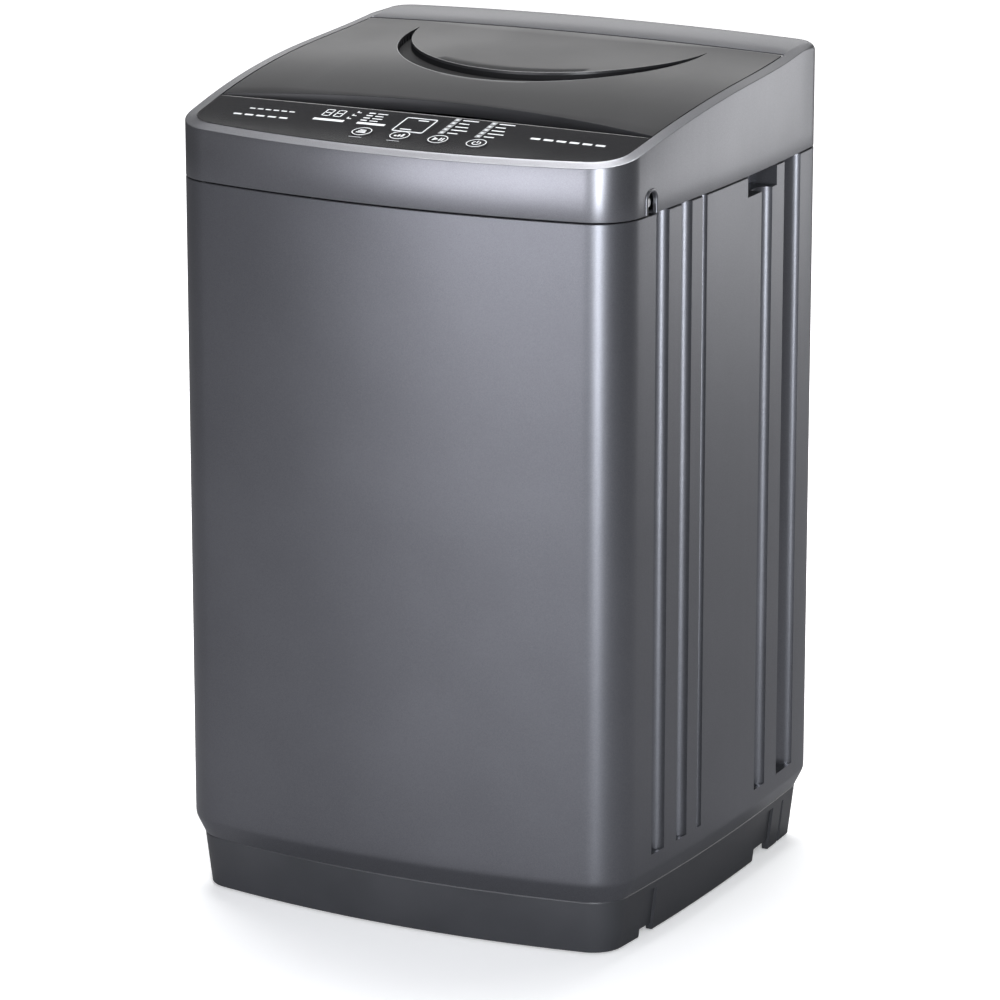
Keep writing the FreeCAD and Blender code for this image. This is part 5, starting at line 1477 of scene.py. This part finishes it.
    def stubs(self) -> tuple[Array, Array]:
        """The hinge pins where they cross the gap: turned, grooved stubs on the hinge's axis."""
        low, high = node_box("hinge_pins")
        y, z = (low[1] + high[1]) / 2, (low[2] + high[2]) / 2
        start, end = high[0] - 6.0, high[0] - 0.2
        profile = np.array([(0.0, start), (0.7, start), (0.7, start + 4.0), (0.55, start + 4.2),
                            (0.55, end - 0.8), (0.7, end - 0.6), (0.7, end - 0.1), (0.6, end),
                            (0.0, end)])
        facets = 20
        angle = np.linspace(0.0, 2 * math.pi, facets, endpoint=False)
        radius, along = profile[:, :1], profile[:, 1:]
        points = np.stack([along + 0.0 * angle, y + radius * np.cos(angle),
                           z + radius * np.sin(angle)], axis=-1)
        pin = points, grid_faces(len(profile), facets, loop_columns=True)
        return joined(pin, mirrored(pin))

    def painted_lip_highlights(self) -> tuple[Array, Array]:
        """A fine bright line along both arcs of the crescent, tapering to its tips: a painted highlight."""
        lines = []
        turn = np.linspace(-0.97, 0.97, 121) * math.pi / 2
        x = self.outer_radius * np.sin(turn)
        taper = np.sqrt(np.cos(turn))
        for y, (width, off) in zip(self.arcs(x), ((1.3, -1.9), (0.8, 0.8))):
            both = np.stack([y + off, y + off + width * taper])
            across = np.stack([x, x])
            lines.append(two_sides(self.top.point(across, both, -0.10),
                                   self.top.point(across, both, 0.3)))
        return joined(*lines)


# ---------------------------------------------------------------- drum
@dataclass
class Drum:
    """What turns inside the tub: perforated basket, balance ring and pulsator."""

    shop: Workshop
    columns: int = 72
    rows: int = 15
    hole: float = 2.6
    steel: float = 1.5
    facets: int = 144
    ring_mouth: float = 158.3
    vanes: int = 6
    vane_facets: int = 240

    def build(self) -> None:
        """Build the three pieces."""
        self.basket()
        self.ring()
        self.pulsator()

    def basket(self) -> None:
        """The steel basket: dished floor, perforated wall and rolled hem."""
        low, high = node_box("wash_basket")
        radius, floor, top = high[0] - 0.6, low[2] + 0.2, high[2]
        t, curve = self.steel, 16.0
        turn = np.linspace(-math.pi / 2, 0.0, 9)
        bend = np.stack([radius - curve + curve * np.cos(turn),
                         floor + curve + curve * np.sin(turn)], axis=1)
        inner_bend = np.stack([radius - curve + (curve - t) * np.cos(turn),
                               floor + curve + (curve - t) * np.sin(turn)],
                              axis=1)
        hub = np.array([[26.0, floor], [100.0, floor]])
        band = floor + curve + 12.0
        dish = np.concatenate([hub, bend, [[radius, band]], [[radius - t, band]], inner_bend[::-1],
                               hub[::-1] + (0.0, t)])
        hem_low = top - 26.0
        hem = rounded_loop([(radius - t - 0.4, hem_low, 0.3), (radius + 0.4, hem_low, 0.3),
                            (radius + 0.4, top, 1.0), (radius - 3.0, top, 1.0),
                            (radius - 3.0, hem_low + 3.0, 1.0)])
        wall = self.perforated(radius, band - 1.0, hem_low + 1.0)
        part = joined(revolved(dish, self.facets), revolved(hem, self.facets), wall)
        self.shop.piece("perforated_basket", part, "stainless", "basket", ("wash_basket",))

    def perforated(self, radius: float, low: float, high: float) -> tuple[Array, Array]:
        """A round wall of square cells, each with a round hole.

        A cell's quads run from points on its square's edge, cos and sin over the larger of the
        two, to the same directions on the hole. Both sides of the steel have them, and the hole's
        wall joins the sides.
        """
        sides = 16
        turn = np.arange(sides) * 2 * math.pi / sides
        round_part = np.stack([np.cos(turn), np.sin(turn)], axis=1)
        square = round_part / np.abs(round_part).max(axis=1, keepdims=True) * 0.5
        tall, wide = (high - low) / self.rows, 2 * math.pi / self.columns
        j, i = np.meshgrid(np.arange(self.columns), np.arange(self.rows))
        cell = np.stack([j.ravel() + 0.5, i.ravel() + 0.5], axis=1)
        circle = round_part * (self.hole / (wide * radius), self.hole / tall)
        spot = np.stack([cell[:, None] + square[None], cell[:, None] + circle[None]], axis=1)
        angle, z = spot[..., 0] * wide, low + spot[..., 1] * tall
        layers = [np.stack([r * np.cos(angle), r * np.sin(angle), z], axis=-1)
                  for r in (radius, radius - self.steel)]
        points = np.stack(layers, axis=1)
        base = (np.arange(len(cell)) * 4 * sides)[:, None]
        k, on = np.arange(sides), (np.arange(sides) + 1) % sides
        edge, rim, edge_in, rim_in = k, k + sides, k + 2 * sides, k + 3 * sides
        pairs = ((edge, edge - k + on, rim - k + on, rim),
                 (edge_in, rim_in, rim_in - k + on, edge_in - k + on),
                 (rim, rim - k + on, rim_in - k + on, rim_in))
        quads = [np.stack([base + corner for corner in pair], axis=-1).reshape(-1, 4)
                 for pair in pairs]
        level = square[k, 1] + square[on, 1]
        for row, mark in ((self.rows - 1, 1.0), (0, -1.0)):
            ends = np.nonzero(level > 0.999)[0] if mark > 0 else np.nonzero(level < -0.999)[0]
            first = base[i.ravel() == row]
            after = on[ends]
            rims = np.stack([first + after, first + ends, first + ends + 2 * sides,
                             first + after + 2 * sides], axis=-1)
            quads.append(rims.reshape(-1, 4))
        return points, np.concatenate(quads)

    def ring(self) -> None:
        """The balance ring: a hollow looking moulding with a rolled mouth and a stepped outside."""
        low, high = node_box("balance_ring")
        outer, top, floor = high[0] - 0.3, high[2], low[2]
        mouth = self.ring_mouth
        profile = rounded_loop([(outer - 6, floor + 0.2, 2.0), (outer, floor + 8, 2.0),
                                (outer, floor + 18, 1.0), (outer - 1.5, floor + 20, 1.0),
                                (outer - 1.5, top - 8, 4.0), (outer - 10, top, 5.0),
                                (mouth + 5, top - 1, 5.0), (mouth, top - 8, 5.0),
                                (mouth, floor + 10, 5.0), (mouth + 8, floor + 0.2, 5.0)], 6)
        self.shop.piece("balance_ring_moulding", revolved(profile, 160), "ring_plastic", "basket",
                        ("balance_ring",))

    def pulsator(self) -> None:
        """The pulsator: a dished disc whose vanes curve out from its hub.

        Over a polar grid the height is a shallow cone that turns up at its rim, plus the round hub
        or the vanes: a bell curve across the vane's line, whose angle advances with the radius.
        """
        low, high = node_box("pulsator")
        floor, top, reach = low[2] + 0.2, high[2] - 0.2, high[0] - 0.3
        share = np.concatenate([np.linspace(0.0, 0.94, 60), np.linspace(0.95, 1.0, 8)])[:, None]
        angle = np.linspace(0.0, 2 * math.pi, self.vane_facets, endpoint=False)[None]
        radius = share * reach
        base = 9.0 - 3.5 * share + 7.0 * smoothstep(0.80, 1.0, share)
        hub = 15.0 * (1.0 - smoothstep(0.14, 0.30, share))
        turn = angle - 0.9 * share
        phase = np.mod(turn * self.vanes / (2 * math.pi) + 0.5, 1.0) - 0.5
        off = phase * 2 * math.pi / self.vanes
        across = off * radius / (7.0 + 6.0 * share)
        start, end = smoothstep(0.18, 0.32, share), 1.0 - smoothstep(0.72, 0.95, share)
        vane = 13.0 * np.exp(-across ** 2) * start * end
        rim = np.sqrt(np.clip(1.0 - ((share - 0.975) / 0.025).clip(0, 1) ** 2, 0.0, 1.0))
        crest = np.minimum(floor + 3.0 + (base + np.maximum(hub, vane)) * rim, top)
        points = np.stack([radius * np.cos(angle), radius * np.sin(angle), crest + 0.0 * angle],
                          axis=-1)
        under_share = np.array([[1.0], [0.5], [0.0]])
        under = np.stack([under_share * reach * np.cos(angle), under_share * reach * np.sin(angle),
                          floor + 0.0 * under_share * angle], axis=-1)
        whole = np.concatenate([under[::-1], points[::-1]])
        faces = grid_faces(len(whole), self.vane_facets, loop_columns=True)
        self.shop.piece("vaned_pulsator", (whole, faces), "pulsator_plastic", "pulsator",
                        ("pulsator",), sharp=50.0)


# ---------------------------------------------------------------- studio
@dataclass
class Softbox:
    """An area light that faces the machine."""

    name: str
    azimuth: float
    distance: float
    height: float
    width: float
    tall: float
    power: float
    tint: tuple[float, float, float] = (1.0, 1.0, 1.0)
    aim: float = 0.4

    def build(self) -> None:
        """Put the light at its azimuth, from the front towards +X, and point it at the machine."""
        angle = math.radians(self.azimuth)
        spot = Vector((math.sin(angle) * self.distance, -math.cos(angle) * self.distance,
                       self.height))
        light = bpy.data.lights.new(self.name, "AREA")
        light.shape = "RECTANGLE"
        light.size, light.size_y = self.width, self.tall
        light.energy, light.color = self.power, self.tint
        item = bpy.data.objects.new(self.name, light)
        item.location = spot
        way = Vector((0.0, 0.0, self.aim)) - spot
        item.rotation_euler = way.to_track_quat("-Z", "Y").to_euler()
        item.visible_camera = False
        bpy.context.scene.collection.objects.link(item)


@dataclass
class Studio:
    """Camera, pale floor, world and softboxes."""

    shop: Workshop
    azimuth: float = 28.01
    elevation: float = 15.09
    distance: float = 5.239
    lens: float = 185.0
    aim_below_middle: float = 0.0357
    aim_right: float = 0.003
    sensor: float = 36.0
    floor_half: float = 9000.0
    floor_steps: int = 13
    # distances in metres over which the floor's glow rises from painted shade near the machine to full
    painted_floor_shade_reach: tuple[float, float] = (0.30, 1.0)
    world_light: float = 0.13
    world_seen: float = 1.05
    boxes: tuple[Softbox, ...] = (
        Softbox("key_softbox", 33.0, 3.2, 0.7, 0.42, 3.0, 145.0, (0.92, 0.95, 1.0)),
        Softbox("front_softbox", -10.0, 4.5, 0.5, 2.4, 3.2, 165.0, (0.94, 0.94, 1.0)),
        Softbox("top_softbox", 208.0, 1.1, 3.8, 2.4, 1.2, 150.0, aim=0.8),
        Softbox("rear_softbox", 203.0, 4.2, 2.0, 3.2, 0.7, 15.0, aim=0.8),
        Softbox("side_softbox", 148.0, 3.2, 0.7, 1.5, 2.2, 28.0),
    )

    def camera(self) -> None:
        """The camera, at its azimuth and elevation round the middle of the machine."""
        low, high = (Vector(corner) for corner in CAD_BOUNDS)
        aim = Vector((self.aim_right, 0.0, (low.z + high.z) / 2 - self.aim_below_middle))
        azimuth, elevation = math.radians(self.azimuth), math.radians(self.elevation)
        way = Vector((math.sin(azimuth) * math.cos(elevation),
                      -math.cos(azimuth) * math.cos(elevation), math.sin(elevation)))
        camera = bpy.data.cameras.new("camera")
        camera.lens, camera.sensor_width = self.lens, self.sensor
        camera.clip_end = 60.0
        item = bpy.data.objects.new("camera", camera)
        item.location = aim + way * self.distance
        item.rotation_euler = (math.pi / 2 - elevation, 0.0, azimuth)
        bpy.context.scene.collection.objects.link(item)
        bpy.context.scene.camera = item

    def floor(self) -> None:
        """A wide pale floor.

        It has a faint unevenness in its tone and light of its own that grows with the distance, so
        the ground stays white far out; its dimmer glow near the machine is painted shade that deepens
        the soft contact shadow. In reflections it is a dim grey.
        """
        steps = np.linspace(-self.floor_half, self.floor_half, self.floor_steps)
        x, y = np.meshgrid(steps, steps)
        points = np.stack([x, y, 0.0 * x], axis=-1)
        floor = self.shop.mesh_object("studio_floor",
                                      (points, grid_faces(self.floor_steps, self.floor_steps)))
        shader = Shader("studio_floor")
        tone = shader.noise(0.6, 2.0)
        surface = shader.surface.inputs
        shader.feed(surface["Base Color"],
                    shader.blend(tone, (0.90, 0.90, 0.90), (0.93, 0.93, 0.93)))
        surface["Roughness"].default_value = 0.9
        surface["Specular IOR Level"].default_value = 0.1
        reach = shader.node("ShaderNodeVectorMath", {"operation": "LENGTH"}, {0: shader.place()})
        # painted shade: the floor's own glow is dim near the machine and full far out
        glow = Value(shader, reach.outputs["Value"]).step(*self.painted_floor_shade_reach)
        shader.feed(surface["Emission Color"], shader.blend(glow, (0.30,) * 3, (1.0,) * 3))
        surface["Emission Strength"].default_value = 1.0
        dim = shader.node("ShaderNodeBsdfDiffuse", {}, {"Color": (0.30, 0.30, 0.31, 1.0)})
        seen = shader.node("ShaderNodeLightPath", {}, {}).outputs["Is Camera Ray"]
        mix = shader.node("ShaderNodeMixShader", {},
                          {0: seen, 1: dim.outputs[0], 2: shader.surface.outputs[0]})
        shader.feed(shader.tree.nodes["Material Output"].inputs["Surface"], mix.outputs[0])
        floor.data.materials.append(shader.material)

    def world(self) -> None:
        """White behind the machine, and a softer grey as light on it."""
        world = bpy.data.worlds.new("studio")
        bpy.context.scene.world = world
        world.use_nodes = True
        nodes, links = world.node_tree.nodes, world.node_tree.links
        nodes.clear()
        shades = []
        for strength in (self.world_light, self.world_seen):
            shade = nodes.new("ShaderNodeBackground")
            shade.inputs["Color"].default_value = (1.0, 1.0, 1.0, 1.0)
            shade.inputs["Strength"].default_value = strength
            shades.append(shade)
        path, mix, out = (nodes.new(kind) for kind in
                          ("ShaderNodeLightPath", "ShaderNodeMixShader", "ShaderNodeOutputWorld"))
        links.new(path.outputs["Is Camera Ray"], mix.inputs[0])
        for number, shade in enumerate(shades):
            links.new(shade.outputs[0], mix.inputs[number + 1])
        links.new(mix.outputs[0], out.inputs[0])

    def build(self) -> None:
        """Set the whole studio up."""
        self.camera()
        self.floor()
        self.world()
        for box in self.boxes:
            box.build()
        settings = bpy.context.scene.view_settings
        settings.view_transform = "Standard"
        settings.look = "None"


# ---------------------------------------------------------------- nodes that keep their own shape
def dress_nodes(shop: Workshop) -> None:
    """Give every node of the frame the finish of its material slot."""
    for row in frame["record"]["subparts"]:
        node, slot = frame["nodes"][row["node"]], row["material_slot"]
        node.data.materials.clear()
        node.data.materials.append(shop.material(slot))


def main() -> None:
    """Build the machine's sub-assemblies in order and dress what is left."""
    logging.basicConfig(level=logging.INFO, format="%(name)s: %(message)s", stream=sys.stdout)
    shop = Workshop()
    Studio(shop).build()
    low, high = node_box("cabinet_shell")
    outline = Outline(width=high[0] - low[0], depth=high[1] - low[1])
    top = TopLine()
    dress_nodes(shop)
    Cabinet(shop, outline, low=low[2], seam=high[2]).build()
    plinth_low, _ = node_box("base_plinth")
    Plinth(shop, outline, low=plinth_low[2], top=low[2] - 0.3).build()
    cover = TopCover(shop, outline, top, low=high[2] + 1.2)
    cover.build()
    fascia = Fascia(shop, outline, top, edge_inset=cover.ring)
    fascia.build()
    fascia.dress()
    for node, icon in zip(fascia.keys, Icon):
        Key(shop, top, node, icon).build()
    Lid(shop, outline, top, inset=cover.ring + 1.6).build()
    Drum(shop).build()


if __name__ == "__main__":
    main()
